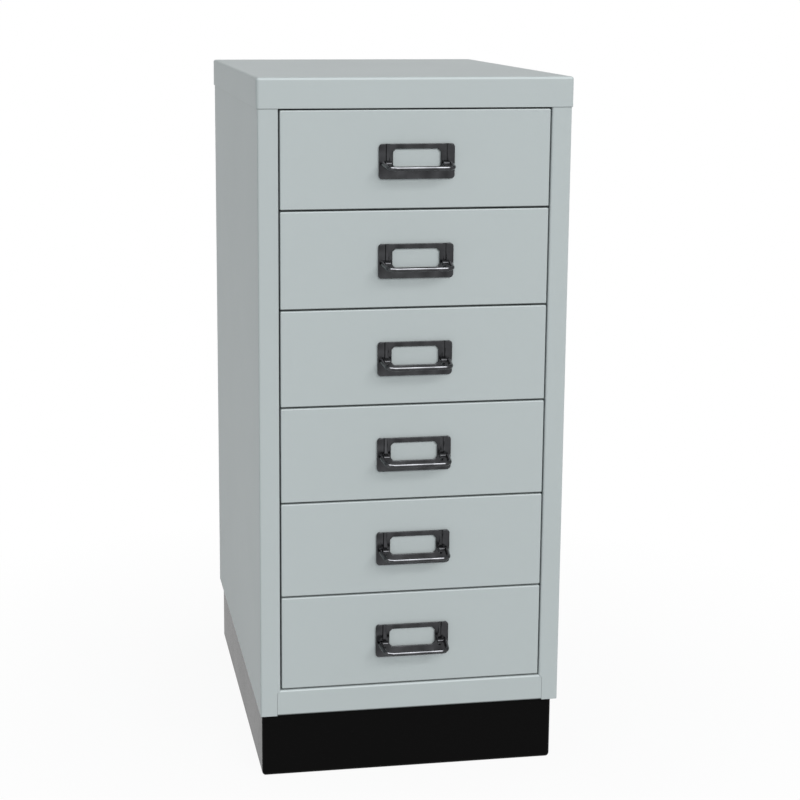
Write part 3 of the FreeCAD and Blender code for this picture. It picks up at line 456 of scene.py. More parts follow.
def bend_light_masks():
    """Masks for the painted highlight on the bends over an upright front and the painted shade on the bends
    under it, from the way that the surface faces.
    """
    group, into, out = new_group("Front bends", (("Normal", "NodeSocketVector", None),),
                                 (("Upper", "NodeSocketFloat"), ("Lower", "NodeSocketFloat")))
    parts = group.nodes.new("ShaderNodeSeparateXYZ")
    group.links.new(into.outputs["Normal"], parts.inputs[0])
    ahead = add_math(group, "MAXIMUM", add_math(group, "MULTIPLY", parts.outputs["Y"], -2.0), 0.0)
    leaning = add_math(group, "MULTIPLY", parts.outputs["Z"], ahead)
    # Upper: where the highlight is painted
    group.links.new(add_math(group, "MAXIMUM", leaning, 0.0), out.inputs["Upper"])
    hanging = add_math(group, "MULTIPLY", leaning, -1.0)
    # Lower: where the shade is painted
    group.links.new(add_math(group, "MAXIMUM", hanging, 0.0), out.inputs["Lower"])
    return group


def paint_bend_light_and_shade(material, light, shade):
    """Painted highlight on the upper bends, as a lighter base colour with a lower roughness, and painted
    shade on the lower bends, as a darker base colour.
    """
    tree = material.node_tree
    shader = tree.nodes["Principled BSDF"]
    base, dull = (shader.inputs[name].links[0].from_socket for name in ("Base Color", "Roughness"))
    facing = tree.nodes.new("ShaderNodeNewGeometry").outputs["Normal"]
    bends = add_group(tree, "Front bends", bend_light_masks, {"Normal": facing})
    # Painted highlight: a lighter base colour on the upper bends
    painted_highlight = add_math(tree, "MULTIPLY", bends.outputs["Upper"], light)
    # Painted shade: a darker base colour on the lower bends
    drop = add_math(tree, "MULTIPLY", bends.outputs["Lower"], shade)
    factor = add_math(tree, "ADD", add_math(tree, "SUBTRACT", painted_highlight, drop), 1.0)
    tree.links.new(add_scaled(tree, base, factor), shader.inputs["Base Color"])
    smoothing = add_math(tree, "MULTIPLY", painted_highlight, BEND_GLOSS_SHARE)
    tree.links.new(add_math(tree, "SUBTRACT", dull, smoothing), shader.inputs["Roughness"])


def new_finish(name, base, roughness, tone, gloss, ripple, drifts=7.0, ripples=420.0, specks=0.2, **sockets):
    """A finish with drifting tone, spread gloss and a soft ripple. Other values go on the shader's own
    sockets."""
    material = bpy.data.materials.new(name)
    material.use_nodes = True
    tree = material.node_tree
    shader = tree.nodes["Principled BSDF"]
    place = tree.nodes.new("ShaderNodeTexCoord").outputs["Object"]
    drift = add_group(tree, "Tone drift", drift_group, {
        "Vector": place, "Color": (*base, 1.0), "Drifts per metre": drifts, "Amount": tone})
    spread = add_group(tree, "Gloss spread", gloss_group, {
        "Vector": place, "Roughness": roughness, "Amount": gloss})
    surface = add_group(tree, "Surface ripple", ripple_group, {
        "Vector": place, "Ripples per metre": ripples, "Specks": specks})
    bump = tree.nodes.new("ShaderNodeBump")
    bump.inputs["Distance"].default_value = ripple
    tree.links.new(surface.outputs["Height"], bump.inputs["Height"])
    tree.links.new(drift.outputs["Color"], shader.inputs["Base Color"])
    tree.links.new(spread.outputs["Roughness"], shader.inputs["Roughness"])
    tree.links.new(bump.outputs["Normal"], shader.inputs["Normal"])
    for socket, value in sockets.items():
        shader.inputs[socket.replace("_", " ")].default_value = value
    return material


def grey_enamel(name, looks):
    """Satin grey-green stoving enamel."""
    material = new_finish(name, looks.grey, looks.grey_roughness, tone=0.02, gloss=0.05, ripple=looks.grain,
                          Specular_IOR_Level=looks.grey_specular)
    # Painted highlight on the upper bends and painted shade on the lower bends
    paint_bend_light_and_shade(material, looks.bend_highlight, looks.bend_shade)
    return material


def black_enamel(name, looks):
    """Glossy black enamel of the plinth."""
    return new_finish(name, looks.black, looks.black_roughness, tone=0.15, gloss=0.05, ripple=looks.grain,
                      Specular_IOR_Level=looks.black_specular)


def plating_painted_dark(name, looks):
    """Bright plating of card frames and bows, with its base colour painted dark as a painted reflection of
    dark surroundings.
    """
    return new_finish(name, looks.plate, looks.plate_roughness, tone=0.9, gloss=0.08,
                      ripple=looks.grain / 3, drifts=70.0, ripples=700.0, specks=0.1, Metallic=1.0)


def zinc_plating(name, looks):
    """Zinc of the runners and fasteners, with its spangle in the tone."""
    return new_finish(name, looks.zinc, looks.zinc_roughness, tone=0.16, gloss=0.16, ripple=looks.grain,
                      drifts=180.0, ripples=300.0, Metallic=1.0)


def pale_nylon(name, looks):
    """Unpainted nylon of the stop blocks."""
    return new_finish(name, looks.nylon, looks.nylon_roughness, tone=0.05, gloss=0.05, ripple=looks.grain,
                      drifts=90.0, ripples=900.0)


FINISHES = {
    "grey_paint": ("Grey enamel", grey_enamel),
    "black_paint": ("Black enamel", black_enamel),
    # Plating painted dark, as a painted reflection of dark surroundings
    "chrome_plate": ("Dark plating", plating_painted_dark),
    "zinc_steel": ("Zinc plating", zinc_plating),
    "nylon": ("Pale nylon", pale_nylon),
}


def finish_for(slot):
    """The finish of a material slot of the record, made once."""
    name, make = FINISHES[slot]
    return bpy.data.materials.get(name) or make(name, bpy.context.scene.cabinet_finish)


def slot_of(node):
    """The material slot that the record gives a node."""
    for part in frame["record"]["subparts"]:
        if part["node"] == node:
            return part["material_slot"]
    raise RuntimeError(f"the record gives {node} no material slot")


def dress_slot(slot):
    """Puts a slot's finish on its nodes of the frame, whose shapes stay as they are."""
    nodes = [node for node in frame["nodes"] if slot_of(node) == slot]
    if not nodes:
        raise RuntimeError(f"no node has the slot {slot}")
    for node in nodes:
        thing = frame["nodes"][node]
        if not thing.material_slots:
            thing.data.materials.append(finish_for(slot))
        for place in thing.material_slots:
            place.material = finish_for(slot)


def add_piece(name, mesh, body, node, base=0.0):
    """A made piece, which rides on its body in place of a node and takes the finish of the node's slot. Its
    flat faces keep their own normals, and its bends shade between them."""
    piece = new_piece(name, mesh, finish_for(slot_of(node)))
    piece.location.z = base
    piece.modifiers.new("Even normals", "WEIGHTED_NORMAL").keep_sharp = True
    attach(piece, body)
    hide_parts(node)


def fit_drawers(suffix, node, make, *sizes):
    """Puts one shared mesh, made for the first drawer in that drawer's own height, on every drawer."""
    mesh = None
    for drawer in DRAWERS:
        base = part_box(f"{drawer}_front")[0].z
        mesh = mesh or make(drawer, base, *sizes)
        add_piece(f"{drawer}_{suffix}", mesh, drawer, f"{drawer}_{node}", base)


# Cover

def cover_mesh(low, high, sizes):
    """The cover as one folded sheet: its top, the bend round it, the skirt and the inside."""
    sheet = sizes.sheet
    bend = sizes.bend
    edge = sizes.lower_edge
    section = section_arc(bend, high.z - bend, bend, QUARTER, 0, BEND_STEPS)
    section += section_arc(edge, low.z + edge, edge, 0, -QUARTER, EDGE_STEPS)
    section += section_arc(sheet - edge, low.z + edge, edge, -QUARTER, -2 * QUARTER, EDGE_STEPS)
    section += section_arc(bend, high.z - bend, bend - sheet, 0, QUARTER, FOLD_STEPS)
    rows = []
    for inset, z in section:
        shift = Vector((inset, inset))
        radius = max(sizes.corner - inset, sheet / 3)
        loop = rounded_loop(low.xy + shift, high.xy - shift, radius, BEND_STEPS)
        rows.append([(x, y, z) for x, y in loop])
    return tube_mesh("cover", rows)


# Drawer fronts

def front_mesh(drawer, base, sizes):
    """A boxed drawer front as one folded skin: its face, the bends round it and the hems behind."""
    low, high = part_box(f"{drawer}_front")
    sheet = sizes.sheet
    bend = sizes.bend
    rear = sizes.rear_bend
    section = [(sheet, low.y + sheet), (sheet, high.y - sheet), (sizes.hem, high.y - sheet),
               (sizes.hem, high.y)]
    section += section_arc(rear, high.y - rear, rear, QUARTER, 0, FOLD_STEPS)
    section += section_arc(bend, low.y + bend, bend, 0, -QUARTER, BEND_STEPS)
    rows = []
    for inset, y in section:
        near = (low.x + inset, low.z - base + inset)
        far = (high.x - inset, high.z - base - inset)
        loop = rounded_loop(near, far, max(sizes.corner - inset, sheet / 4), FOLD_STEPS)
        rows.append([(x, y, z) for x, z in loop])
    return tube_mesh("drawer_front", rows)


# Plinth

def channel_section(low_z, high_z, sizes):
    """Outline of the plinth's channel: how far in from its face, and the height."""
    sheet = sizes.sheet
    upper = sizes.top_fold
    lower = sizes.fold
    section = [(sizes.top_flange, high_z)]
    section += section_arc(upper, high_z - upper, upper, QUARTER, 0, FOLD_STEPS)
    section += section_arc(lower, low_z + lower, lower, 0, -QUARTER, BEND_STEPS)
    section += [(sizes.foot_flange, low_z), (sizes.foot_flange, low_z + sheet)]
    section += section_arc(lower, low_z + lower, lower - sheet, -QUARTER, 0, BEND_STEPS)
    section += section_arc(upper, high_z - upper, upper - sheet, 0, QUARTER, FOLD_STEPS)
    return [*section, (sizes.top_flange, high_z - sheet)]


def end_channel_mesh(name, low, high, side, sizes):
    """A channel across the plinth's front or rear, which turns both corners."""
    face_y, end_y = (low.y, high.y) if side < 0 else (high.y, low.y)
    rows = []
    for inset, z in channel_section(low.z, high.z, sizes):
        radius = max(sizes.corner - inset, sizes.sheet / 4)
        x = high.x - inset
        centre = (radius - x, face_y - side * (inset + radius))
        left = [(-x, end_y), *arc(centre, radius, 2 * QUARTER, (2 - side) * QUARTER, BEND_STEPS)]
        line = left + [(-px, py) for px, py in reversed(left)]
        rows.append([(px, py, z) for px, py in line])
    return tube_mesh(name, zip(*rows))


def side_channel_mesh(name, low, high, sizes):
    """A straight channel along one side of the plinth."""
    face_x, inward = (high.x, -1) if high.x > 0 else (low.x, 1)
    section = channel_section(low.z, high.z, sizes)
    rows = [[(face_x + inward * inset, y, z) for inset, z in section] for y in (low.y, high.y)]
    return tube_mesh(name, rows)


# Card frame

def bead_height(distance, width, height):
    """Height of a pressed bead's round section at a distance from its middle."""
    half = width / 2
    if distance >= half:
        return 0.0
    return height * (0.5 + 0.5 * math.cos(math.pi * distance / half))


def cut_loop(low, high, cut):
    """A rectangle with cut corners, anticlockwise from its lower right side on."""
    return [(high.x - cut, low.y), (high.x, low.y + cut), (high.x, high.y - cut), (high.x - cut, high.y),
            (low.x + cut, high.y), (low.x, high.y - cut), (low.x, low.y + cut), (low.x + cut, low.y)]


def cut_distance(x, z, low, high, cut):
    """How far a point lies outside a rectangle with cut corners, or under 0 inside it."""
    middle = (low + high) / 2
    half = (high - low) / 2
    dx = abs(x - middle.x)
    dz = abs(z - middle.y)
    return max(dx - half.x, dz - half.y, (dx + dz - half.x - half.y + cut) / math.sqrt(2))


def loop_distance(x, z, low, high, radius):
    """How far a point lies inside a rounded rectangle, or under 0 outside it."""
    middle = (low + high) / 2
    half = (high - low) / 2
    dx = abs(x - middle.x) - (half.x - radius)
    dz = abs(z - middle.y) - (half.y - radius)
    outside = math.hypot(max(dx, 0.0), max(dz, 0.0))
    return radius - outside - min(max(dx, dz), 0.0)


class CardPlate:
    """The plate's places: outline, window, grooves, band and the slot behind, for one shared mesh."""

    EDGE_SHARES = (0.0, 0.1, 0.32, 0.62, 1.0)
    WINDOW_EDGE_SHARES = (0.0, 0.15, 0.5, 1.0)
    CORNER_STEPS = 8
    PRESSED_STEPS = 4
    FLANK_STEPS = 6
    BAND_END_STEPS = 10
    WELD_DISTANCE = 1e-7

    def __init__(self, low, high, front, back, lug_z, sizes):
        """Front is where the plate meets the drawer front, and back where its tabs end."""
        self.sizes = sizes
        self.front = front
        self.back = back
        self.face = front - sizes.slot - sizes.sheet
        self.low = Vector((low.x, low.z))
        self.high = Vector((high.x, low.z + sizes.height))
        self.window_high = Vector((sizes.window_width / 2, self.high.y - sizes.window_margin))
        self.window_low = Vector((-sizes.window_width / 2, self.window_high.y - sizes.window_height))
        self.band_z = (self.low.y + self.window_low.y) / 2
        self.lug_z = lug_z
        self.band_half = sizes.rib_x - sizes.lug_width / 2 - sizes.band_width / 2
        self.slot_half = self.high.x - sizes.corner
        self.slot_low = self.low.y + sizes.rim

    def outside(self, x, z):
        """How far inside the plate's outline a point lies."""
        return loop_distance(x, z, self.low, self.high, self.sizes.corner)

    def beside_window(self, x, z):
        """How far outside the window a point lies."""
        return cut_distance(x, z, self.window_low, self.window_high, self.sizes.window_corner)

    def pocket(self):
        """The opening round a lug's point, from its upper corners to its narrow lower end."""
        sizes = self.sizes
        gap = sizes.pocket_gap
        half = sizes.lug_width / 2 + gap
        low = self.lug_z - sizes.lug_point - gap
        return [(half, self.lug_z), (-half, self.lug_z), (-gap, low), (gap, low)]

    def in_pocket(self, x, z):
        """Whether a point lies in one of the two pockets."""
        (half, top), _, _, (gap, low) = self.pocket()
        if not low < z < top:
            return False
        edge = gap + (half - gap) * (z - low) / (top - low)
        return abs(abs(x) - self.sizes.rib_x) < edge

    def edge_drop(self, distance, radius):
        """How far the face falls back within a rounded edge."""
        if distance >= radius:
            return 0.0
        return radius - math.sqrt(max(radius ** 2 - (radius - max(distance, 0.0)) ** 2, 0.0))

    def front_y(self, x, z):
        """The plate's front surface, with its edges, grooves and band."""
        sizes = self.sizes
        fall = self.edge_drop(self.outside(x, z), sizes.edge)
        fall = max(fall, self.edge_drop(self.beside_window(x, z), sizes.window_edge))
        pressed = 0.0
        if z >= self.lug_z:
            away = abs(x) - sizes.groove_x
            flank = (sizes.groove_width + sizes.flank_width) / 2
            pressed = bead_height(abs(away + flank), sizes.flank_width, sizes.flank_height)
            pressed -= bead_height(abs(away), sizes.groove_width, sizes.groove_depth)
        beyond = max(abs(x) - self.band_half, 0.0)
        band = bead_height(math.hypot(beyond, z - self.band_z), sizes.band_width, sizes.band_height)
        return self.face + fall - pressed - band

    def back_y(self, x, z):
        """The plate's back: on the drawer front at its rim, and a sheet behind its face in the slot."""
        if abs(x) < self.slot_half and z > self.slot_low:
            return self.face + self.sizes.sheet
        return self.front

    def lines(self):
        """Points and edges that the plate's mesh follows."""
        sizes = self.sizes
        points = []
        edges = []

        def add(line, closed):
            start = len(points)
            points.extend(Vector(point) for point in line)
            edges.extend((start + n, start + n + 1) for n in range(len(line) - 1))
            if closed:
                edges.append((len(points) - 1, start))

        for part in self.EDGE_SHARES:
            inset = sizes.edge * part
            shift = Vector((inset, inset))
            loop = rounded_loop(self.low + shift, self.high - shift, sizes.corner - inset, self.CORNER_STEPS)
            add(loop, True)
        for part in self.WINDOW_EDGE_SHARES:
            outset = sizes.window_edge * part
            shift = Vector((outset, outset))
            cut = sizes.window_corner + outset * (2 - math.sqrt(2))
            add(cut_loop(self.window_low - shift, self.window_high + shift, cut), True)
        steps = self.PRESSED_STEPS
        offsets = [sizes.groove_width * (n / steps - 0.5) for n in range(steps + 1)]
        flank = sizes.flank_width / self.FLANK_STEPS
        offsets += [-sizes.groove_width / 2 - flank * (n + 1) for n in range(self.FLANK_STEPS)]
        for side in (-1, 1):
            add([(side * sizes.rib_x + x, z) for x, z in self.pocket()], True)
            for offset in offsets:
                x = side * (sizes.groove_x + offset)
                add([(x, self.lug_z), (x, self.high.y)], False)
            for n in range(steps):
                radius = sizes.band_width / 2 * (n + 1) / steps
                spots = arc((self.band_half, self.band_z), radius, QUARTER, -QUARTER, self.BAND_END_STEPS)
                add([(side * x, z) for x, z in spots], False)
        for n in range(-steps, steps + 1):
            z = self.band_z + sizes.band_width / 2 * n / steps
            add([(-self.band_half, z), (self.band_half, z)], False)
        gap = sizes.sheet / 50
        for by in (0.0, gap):
            x = self.slot_half + by
            z = self.slot_low - by
            add([(-x, self.high.y), (-x, z), (x, z), (x, self.high.y)], False)
        return points, edges

    def build(self, bm):
        """The plate as a closed sheet: front, back and the edges between them."""
        points, edges = self.lines()
        places, _, triangles, _, _, _ = delaunay_2d_cdt(points, edges, [], 0, self.WELD_DISTANCE)
        margin = self.sizes.sheet / 1000
        kept = []
        for triangle in triangles:
            middle = sum((places[n] for n in triangle), Vector((0.0, 0.0))) / len(triangle)
            if (self.outside(*middle) > -margin and self.beside_window(*middle) > -margin
                    and not self.in_pocket(*middle)):
                kept.append(triangle)
        used = sorted({n for triangle in kept for n in triangle})
        front = {n: bm.verts.new((places[n].x, self.front_y(*places[n]), places[n].y)) for n in used}
        back = {n: bm.verts.new((places[n].x, self.back_y(*places[n]), places[n].y)) for n in used}
        sides = {}
        for triangle in kept:
            bm.faces.new([front[n] for n in triangle])
            bm.faces.new([back[n] for n in reversed(triangle)])
            for n, one in enumerate(triangle):
                pair = (one, triangle[(n + 1) % len(triangle)])
                sides[pair] = sides.get(pair, 0) + 1
        for one, other in sides:
            if (other, one) not in sides:
                bm.faces.new((front[other], front[one], back[one], back[other]))


LUG_END = math.radians(-72)
LUG_STEPS = 14


def lug(bm, plate, middle, wire_y, wire_z, wire, sizes):
    """A pointed tongue of the plate, wrapped down over the bow's wire."""
    wrap = wire / 2 + sizes.lug_wrap / 2
    out = plate.face - wire_y
    root = plate.face + sizes.sheet / 2
    line = [Vector((middle, root, wire_z + wrap)), Vector((middle, wire_y + out / 2, wire_z + wrap))]
    turned = arc((0, 0), wrap, QUARTER, LUG_END, LUG_STEPS)
    line += [Vector((middle, wire_y - x, wire_z + z)) for x, z in turned]
    tip_y = plate.face - sizes.lug_wrap / 2
    line.append(Vector((middle, tip_y, wire_z - sizes.lug_point)))
    taper_from = wire_z + wire / 3
    sections = []
    for point in line:
        wide = sizes.lug_width
        if point.z < taper_from and point.y < plate.face:
            rest = (point.z - wire_z + sizes.lug_point) / (taper_from - wire_z + sizes.lug_point)
            wide = max(sizes.lug_width * rest, sizes.lug_wrap)
        sections.append(strip_section(sizes.lug_wrap, wide, sizes.lug_wrap / 3))
    sweep(bm, line, sections, Vector((1.0, 0.0, 0.0)))


def tab(bm, plate, side, sizes):
    """A tab behind the plate, through the drawer front and bent outwards."""
    x = side * (plate.high.x - sizes.tab_inset)
    z = (plate.low.y + plate.high.y) / 2
    bent_y = plate.back - sizes.sheet / 2
    start = Vector((x, plate.face + sizes.sheet / 2, z))
    corner = Vector((x, bent_y, z))
    end = Vector((x + side * sizes.tab_foot, bent_y, z))
    line = [start, *fillet(start, corner, end, sizes.sheet, FOLD_STEPS), end]
    sections = [strip_section(sizes.sheet, sizes.tab_height, sizes.sheet / 8)] * len(line)
    sweep(bm, line, sections, Vector((0.0, 0.0, 1.0)))


def card_frame_mesh(drawer, base, sizes, bow_sizes):
    """The card frame in its drawer's own height."""
    low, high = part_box(f"{drawer}_card_frame")
    front_low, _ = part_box(f"{drawer}_front")
    _, bow_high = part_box(f"{drawer}_bow")
    shift = Vector((0.0, 0.0, base))
    wire_y = bow_high.y - bow_sizes.wire / 2
    wire_z = bow_high.z - bow_sizes.wire / 2 - base
    plate = CardPlate(low - shift, high - shift, front_low.y, high.y, wire_z, sizes)
    bm = bmesh.new()
    plate.build(bm)
    for side in (-1, 1):
        lug(bm, plate, side * sizes.rib_x, wire_y, wire_z, bow_sizes.wire, sizes)
        tab(bm, plate, side, sizes)
    return mesh_of(bm, "card_frame")


# Bow

ROOT_STEPS = 8
BAR_STEPS = 14
END_SHARES = (0.0, 0.3, 0.7, 1.0)


def bow_mesh(drawer, base, sizes, frame_sizes):
    """The wire bow, bent from one round wire, in its drawer's own height."""
    low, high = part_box(f"{drawer}_bow")
    radius = sizes.wire / 2
    end_y = high.y - radius
    end_z = high.z - radius - base
    reach = end_y - low.y - radius
    lean = math.atan2(sizes.sag, reach)
    run = math.hypot(sizes.sag, reach)
    start = Vector((frame_sizes.lug_width / 2 - frame_sizes.rib_x, 0.0, 0.0))
    first = Vector((radius - high.x, 0.0, 0.0))
    corner = Vector((first.x + sizes.taper, run, 0.0))
    middle = Vector((0.0, run, 0.0))
    edge = radius / 4
    backs = [edge * part for part in END_SHARES]
    half = [start - Vector((back, 0.0, 0.0)) for back in backs]
    radii = [radius - edge + math.sqrt(edge ** 2 - (edge - back) ** 2) for back in backs]
    half += fillet(start, first, corner, sizes.root_bend, ROOT_STEPS)
    half += fillet(first, corner, middle, sizes.bar_bend, BAR_STEPS)
    radii += [radius] * (len(half) - len(radii))
    line = half + [Vector((-point.x, point.y, 0.0)) for point in reversed(half)]
    bm = bmesh.new()
    sweep(bm, line, [round_section(part, sizes.sides) for part in radii + radii[::-1]],
          Vector((0.0, 0.0, 1.0)))
    bm.transform(Matrix.Translation((0.0, end_y, end_z)) @ Matrix.Rotation(math.pi + lean, 4, "X"))
    return mesh_of(bm, "wire_bow")


# Operators

class CABINET_OT_paint_sheet_metal(bpy.types.Operator):
    """Put the grey enamel on the sides, rails, panels and trays"""

    bl_idname = "cabinet.paint_sheet_metal"
    bl_label = "Paint Sheet Metal"

    def execute(self, context):
        dress_slot("grey_paint")
        return {"FINISHED"}


class CABINET_OT_finish_runners(bpy.types.Operator):
    """Put the zinc on the runners, bolts and nuts"""

    bl_idname = "cabinet.finish_runners"
    bl_label = "Finish Runners and Fasteners"

    def execute(self, context):
        dress_slot("zinc_steel")
        return {"FINISHED"}


class CABINET_OT_finish_stops(bpy.types.Operator):
    """Put the pale nylon on the stop blocks"""

    bl_idname = "cabinet.finish_stops"
    bl_label = "Finish Stop Blocks"

    def execute(self, context):
        dress_slot("nylon")
        return {"FINISHED"}


class CABINET_OT_fold_cover(bpy.types.Operator):
    """Fold the cover from one sheet, with round bends and corners"""

    bl_idname = "cabinet.fold_cover"
    bl_label = "Fold Cover"

    def execute(self, context):
        low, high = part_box("top_cover")
        add_piece("cover", cover_mesh(low, high, context.scene.cabinet_cover), CARCASS, "top_cover")
        return {"FINISHED"}


class CABINET_OT_fold_fronts(bpy.types.Operator):
    """Fold the six drawer fronts, with fine bends round their faces"""

    bl_idname = "cabinet.fold_fronts"
    bl_label = "Fold Drawer Fronts"

    def execute(self, context):
        fit_drawers("face", "front", front_mesh, context.scene.cabinet_front)
        return {"FINISHED"}


class CABINET_OT_weld_plinth(bpy.types.Operator):
    """Make the plinth's four channels, with round folds and corners"""

    bl_idname = "cabinet.weld_plinth"
    bl_label = "Weld Plinth"

    def execute(self, context):
        sizes = context.scene.cabinet_plinth
        for node in (*PLINTH_ENDS, *PLINTH_SIDES):
            low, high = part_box(node)
            name = node.replace("plinth", "base_channel")
            if node in PLINTH_ENDS:
                mesh = end_channel_mesh(name, low, high, PLINTH_ENDS[node], sizes)
            else:
                mesh = side_channel_mesh(name, low, high, sizes)
            add_piece(name, mesh, CARCASS, node)
        return {"FINISHED"}


class CABINET_OT_press_card_frames(bpy.types.Operator):
    """Press the six card frames, with window, grooves, band, lugs and tabs"""

    bl_idname = "cabinet.press_card_frames"
    bl_label = "Press Card Frames"

    def execute(self, context):
        fit_drawers("card_plate", "card_frame", card_frame_mesh, context.scene.cabinet_card_frame,
                    context.scene.cabinet_bow)
        return {"FINISHED"}


class CABINET_OT_bend_bows(bpy.types.Operator):
    """Bend the six wire bows"""

    bl_idname = "cabinet.bend_bows"
    bl_label = "Bend Bows"

    def execute(self, context):
        fit_drawers("wire_bow", "bow", bow_mesh, context.scene.cabinet_bow,
                    context.scene.cabinet_card_frame)
        return {"FINISHED"}


# Stage

PHOTO_PIXELS = 800
SENSOR = 36.0
CAMERA_FOCUS = 1797.16
CAMERA_CENTRE = (360.0, 332.0)
CAMERA_PLACE = (-0.31165, -1.71136, 0.71029)
CAMERA_YAW = math.radians(9.7648)
CAMERA_PITCH = math.radians(10.779)
CAMERA_ROLL = math.radians(0.2525)
CABINET_MIDDLE = Vector((0.0, 0.0, 0.32))
WHITE = (1.0, 1.0, 1.0, 1.0)
COOL_WHITE = (0.90, 1.0, 1.02, 1.0)
FLOOR_GREY = (0.82, 0.82, 0.82, 1.0)
FLOOR_HALF = 12.0
FLOOR_DROP = 0.0002
KEY_ANGLES = (math.radians(14.0), math.radians(27.0))
GLOW_ANGLES = (math.radians(-68.0), math.radians(-14.0))
SHEEN_ANGLES = (math.radians(-14.0), math.radians(58.0))


def seen_directly(tree):
    """1 for camera, mirror and glass rays, else 0."""
    path = tree.nodes.new("ShaderNodeLightPath")
    either = add_math(tree, "MAXIMUM", path.outputs["Is Camera Ray"], path.outputs["Is Glossy Ray"])
    return add_math(tree, "MAXIMUM", either, path.outputs["Is Transmission Ray"])


def add_colour(tree, kind, colour_value):
    """A shader node of one colour."""
    node = tree.nodes.new(kind)
    node.inputs["Color"].default_value = colour_value
    return node


def show_mix(tree, factor, one, other, out_kind):
    """Mixes two shader nodes into a new output node."""
    mix = tree.nodes.new("ShaderNodeMixShader")
    out = tree.nodes.new(out_kind)
    tree.links.new(factor, mix.inputs[0])
    tree.links.new(one.outputs[0], mix.inputs[1])
    tree.links.new(other.outputs[0], mix.inputs[2])
    tree.links.new(mix.outputs[0], out.inputs["Surface"])


def studio_world(sizes):
    """A white room as it is seen, with a soft even light from it."""
    world = bpy.data.worlds.new("Studio")
    world.use_nodes = True
    tree = world.node_tree
    tree.nodes.clear()
    light = add_colour(tree, "ShaderNodeBackground", COOL_WHITE)
    light.inputs["Strength"].default_value = sizes.ambient
    shown = add_colour(tree, "ShaderNodeBackground", WHITE)
    show_mix(tree, seen_directly(tree), light, shown, "ShaderNodeOutputWorld")
    bpy.context.scene.world = world


def floor_paint(sizes):
    """Pale floor, shown as white as the room behind it, with a faint shadow close to the cabinet."""
    material = bpy.data.materials.new("Pale floor")
    material.use_nodes = True
    tree = material.node_tree
    tree.nodes.clear()
    away = tree.nodes.new("ShaderNodeVectorMath")
    away.operation = "LENGTH"
    fade = tree.nodes.new("ShaderNodeMapRange")
    fade.inputs["From Min"].default_value = sizes.shadow_reach / 3
    fade.inputs["From Max"].default_value = sizes.shadow_reach
    fade.inputs["To Min"].default_value = sizes.floor_shown
    tree.links.new(tree.nodes.new("ShaderNodeTexCoord").outputs["Object"], away.inputs[0])
    tree.links.new(away.outputs["Value"], fade.inputs["Value"])
    factor = add_math(tree, "MULTIPLY", seen_directly(tree), fade.outputs["Result"])
    matt = add_colour(tree, "ShaderNodeBsdfDiffuse", FLOOR_GREY)
    glow = add_colour(tree, "ShaderNodeEmission", WHITE)
    show_mix(tree, factor, matt, glow, "ShaderNodeOutputMaterial")
    return material


def add_lamp(kind, azimuth, elevation, sizes, level=False):
    """A soft rectangular lamp with the sizes of its kind, turned to the cabinet's middle, or level.
    Azimuth 0 is in front, and grows to the right."""
    width, height, distance = (getattr(sizes, f"{kind}_{part}") for part in ("width", "height", "distance"))
    lamp = bpy.data.lights.new(kind, "AREA")
    lamp.shape = "RECTANGLE"
    lamp.size = width
    lamp.size_y = height
    lamp.energy = getattr(sizes, kind) * math.pi * width * height
    thing = bpy.data.objects.new(kind, lamp)
    bpy.context.scene.collection.objects.link(thing)
    flat = distance * math.cos(elevation)
    away = Vector((flat * math.sin(azimuth), -flat * math.cos(azimuth), distance * math.sin(elevation)))
    thing.location = CABINET_MIDDLE + away
    thing.visible_camera = False
    if level:
        away.z = 0.0
    thing.rotation_euler = away.to_track_quat("Z", "Y").to_euler()
    return thing


def add_camera():
    """The camera at the photograph's viewing angle."""
    lens = bpy.data.cameras.new("Camera")
    lens.sensor_width = SENSOR
    lens.lens = CAMERA_FOCUS / PHOTO_PIXELS * SENSOR
    lens.shift_x = (PHOTO_PIXELS / 2 - CAMERA_CENTRE[0]) / PHOTO_PIXELS
    lens.shift_y = (CAMERA_CENTRE[1] - PHOTO_PIXELS / 2) / PHOTO_PIXELS
    lens.clip_end = 50.0
    camera = bpy.data.objects.new("Camera", lens)
    bpy.context.scene.collection.objects.link(camera)
    turn = Matrix.Rotation(-CAMERA_YAW, 4, "Z") @ Matrix.Rotation(math.pi / 2 - CAMERA_PITCH, 4, "X")
    camera.matrix_world = (Matrix.Translation(CAMERA_PLACE) @ turn
                           @ Matrix.Rotation(CAMERA_ROLL, 4, "Z"))
    bpy.context.scene.camera = camera


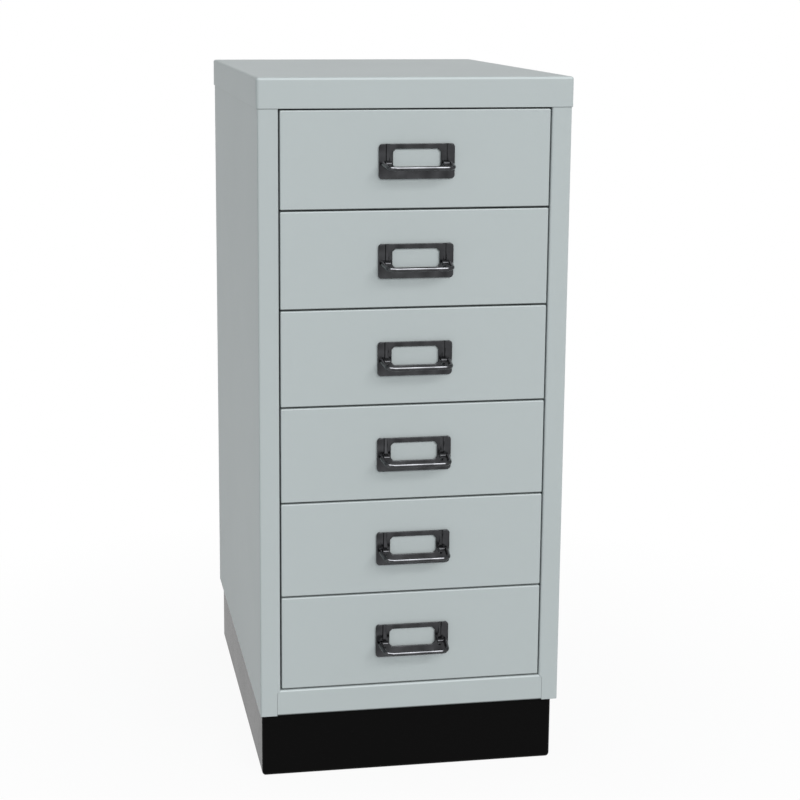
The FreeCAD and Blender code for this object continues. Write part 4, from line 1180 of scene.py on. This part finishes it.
class CABINET_OT_set_stage(bpy.types.Operator):
    """Set the pale floor, the lamps and the camera"""

    bl_idname = "cabinet.set_stage"
    bl_label = "Set Stage"

    def execute(self, context):
        sizes = context.scene.cabinet_studio
        studio_world(sizes)
        bm = bmesh.new()
        bmesh.ops.create_grid(bm, x_segments=1, y_segments=1, size=FLOOR_HALF)
        mesh = bpy.data.meshes.new("floor")
        bm.to_mesh(mesh)
        bm.free()
        floor = new_piece("floor", mesh, floor_paint(sizes))
        floor.location.z = -FLOOR_DROP
        add_lamp("key", *KEY_ANGLES, sizes)
        add_lamp("glow", *GLOW_ANGLES, sizes, level=True)
        lamp = add_lamp("sheen", *SHEEN_ANGLES, sizes)
        bows = bpy.data.collections.new("Wire bows")
        for piece in bpy.data.objects:
            if piece.name.endswith("_wire_bow"):
                bows.objects.link(piece)
        lamp.light_linking.receiver_collection = bows
        add_camera()
        context.scene.view_settings.view_transform = "Standard"
        return {"FINISHED"}


class CABINET_PT_steps(bpy.types.Panel):
    """The steps that dress the cabinet"""

    bl_idname = "CABINET_PT_steps"
    bl_label = "Drawer Cabinet"
    bl_space_type = "VIEW_3D"
    bl_region_type = "UI"
    bl_category = "Cabinet"

    def draw(self, context):
        for step in STEPS:
            self.layout.operator(step.bl_idname)


STEPS = (
    CABINET_OT_paint_sheet_metal,
    CABINET_OT_finish_runners,
    CABINET_OT_finish_stops,
    CABINET_OT_fold_cover,
    CABINET_OT_fold_fronts,
    CABINET_OT_weld_plinth,
    CABINET_OT_press_card_frames,
    CABINET_OT_bend_bows,
    CABINET_OT_set_stage,
)


def register():
    for group in (*GROUPS.values(), *STEPS, CABINET_PT_steps):
        bpy.utils.register_class(group)
    for name, group in GROUPS.items():
        setattr(bpy.types.Scene, name, PointerProperty(type=group))


def unregister():
    for name in GROUPS:
        delattr(bpy.types.Scene, name)
    for group in reversed((*GROUPS.values(), *STEPS, CABINET_PT_steps)):
        bpy.utils.unregister_class(group)


def main():
    """Dresses the cabinet."""
    register()
    for step in STEPS:
        family, name = step.bl_idname.split(".")
        getattr(getattr(bpy.ops, family), name)()


if __name__ == "__main__":
    main()
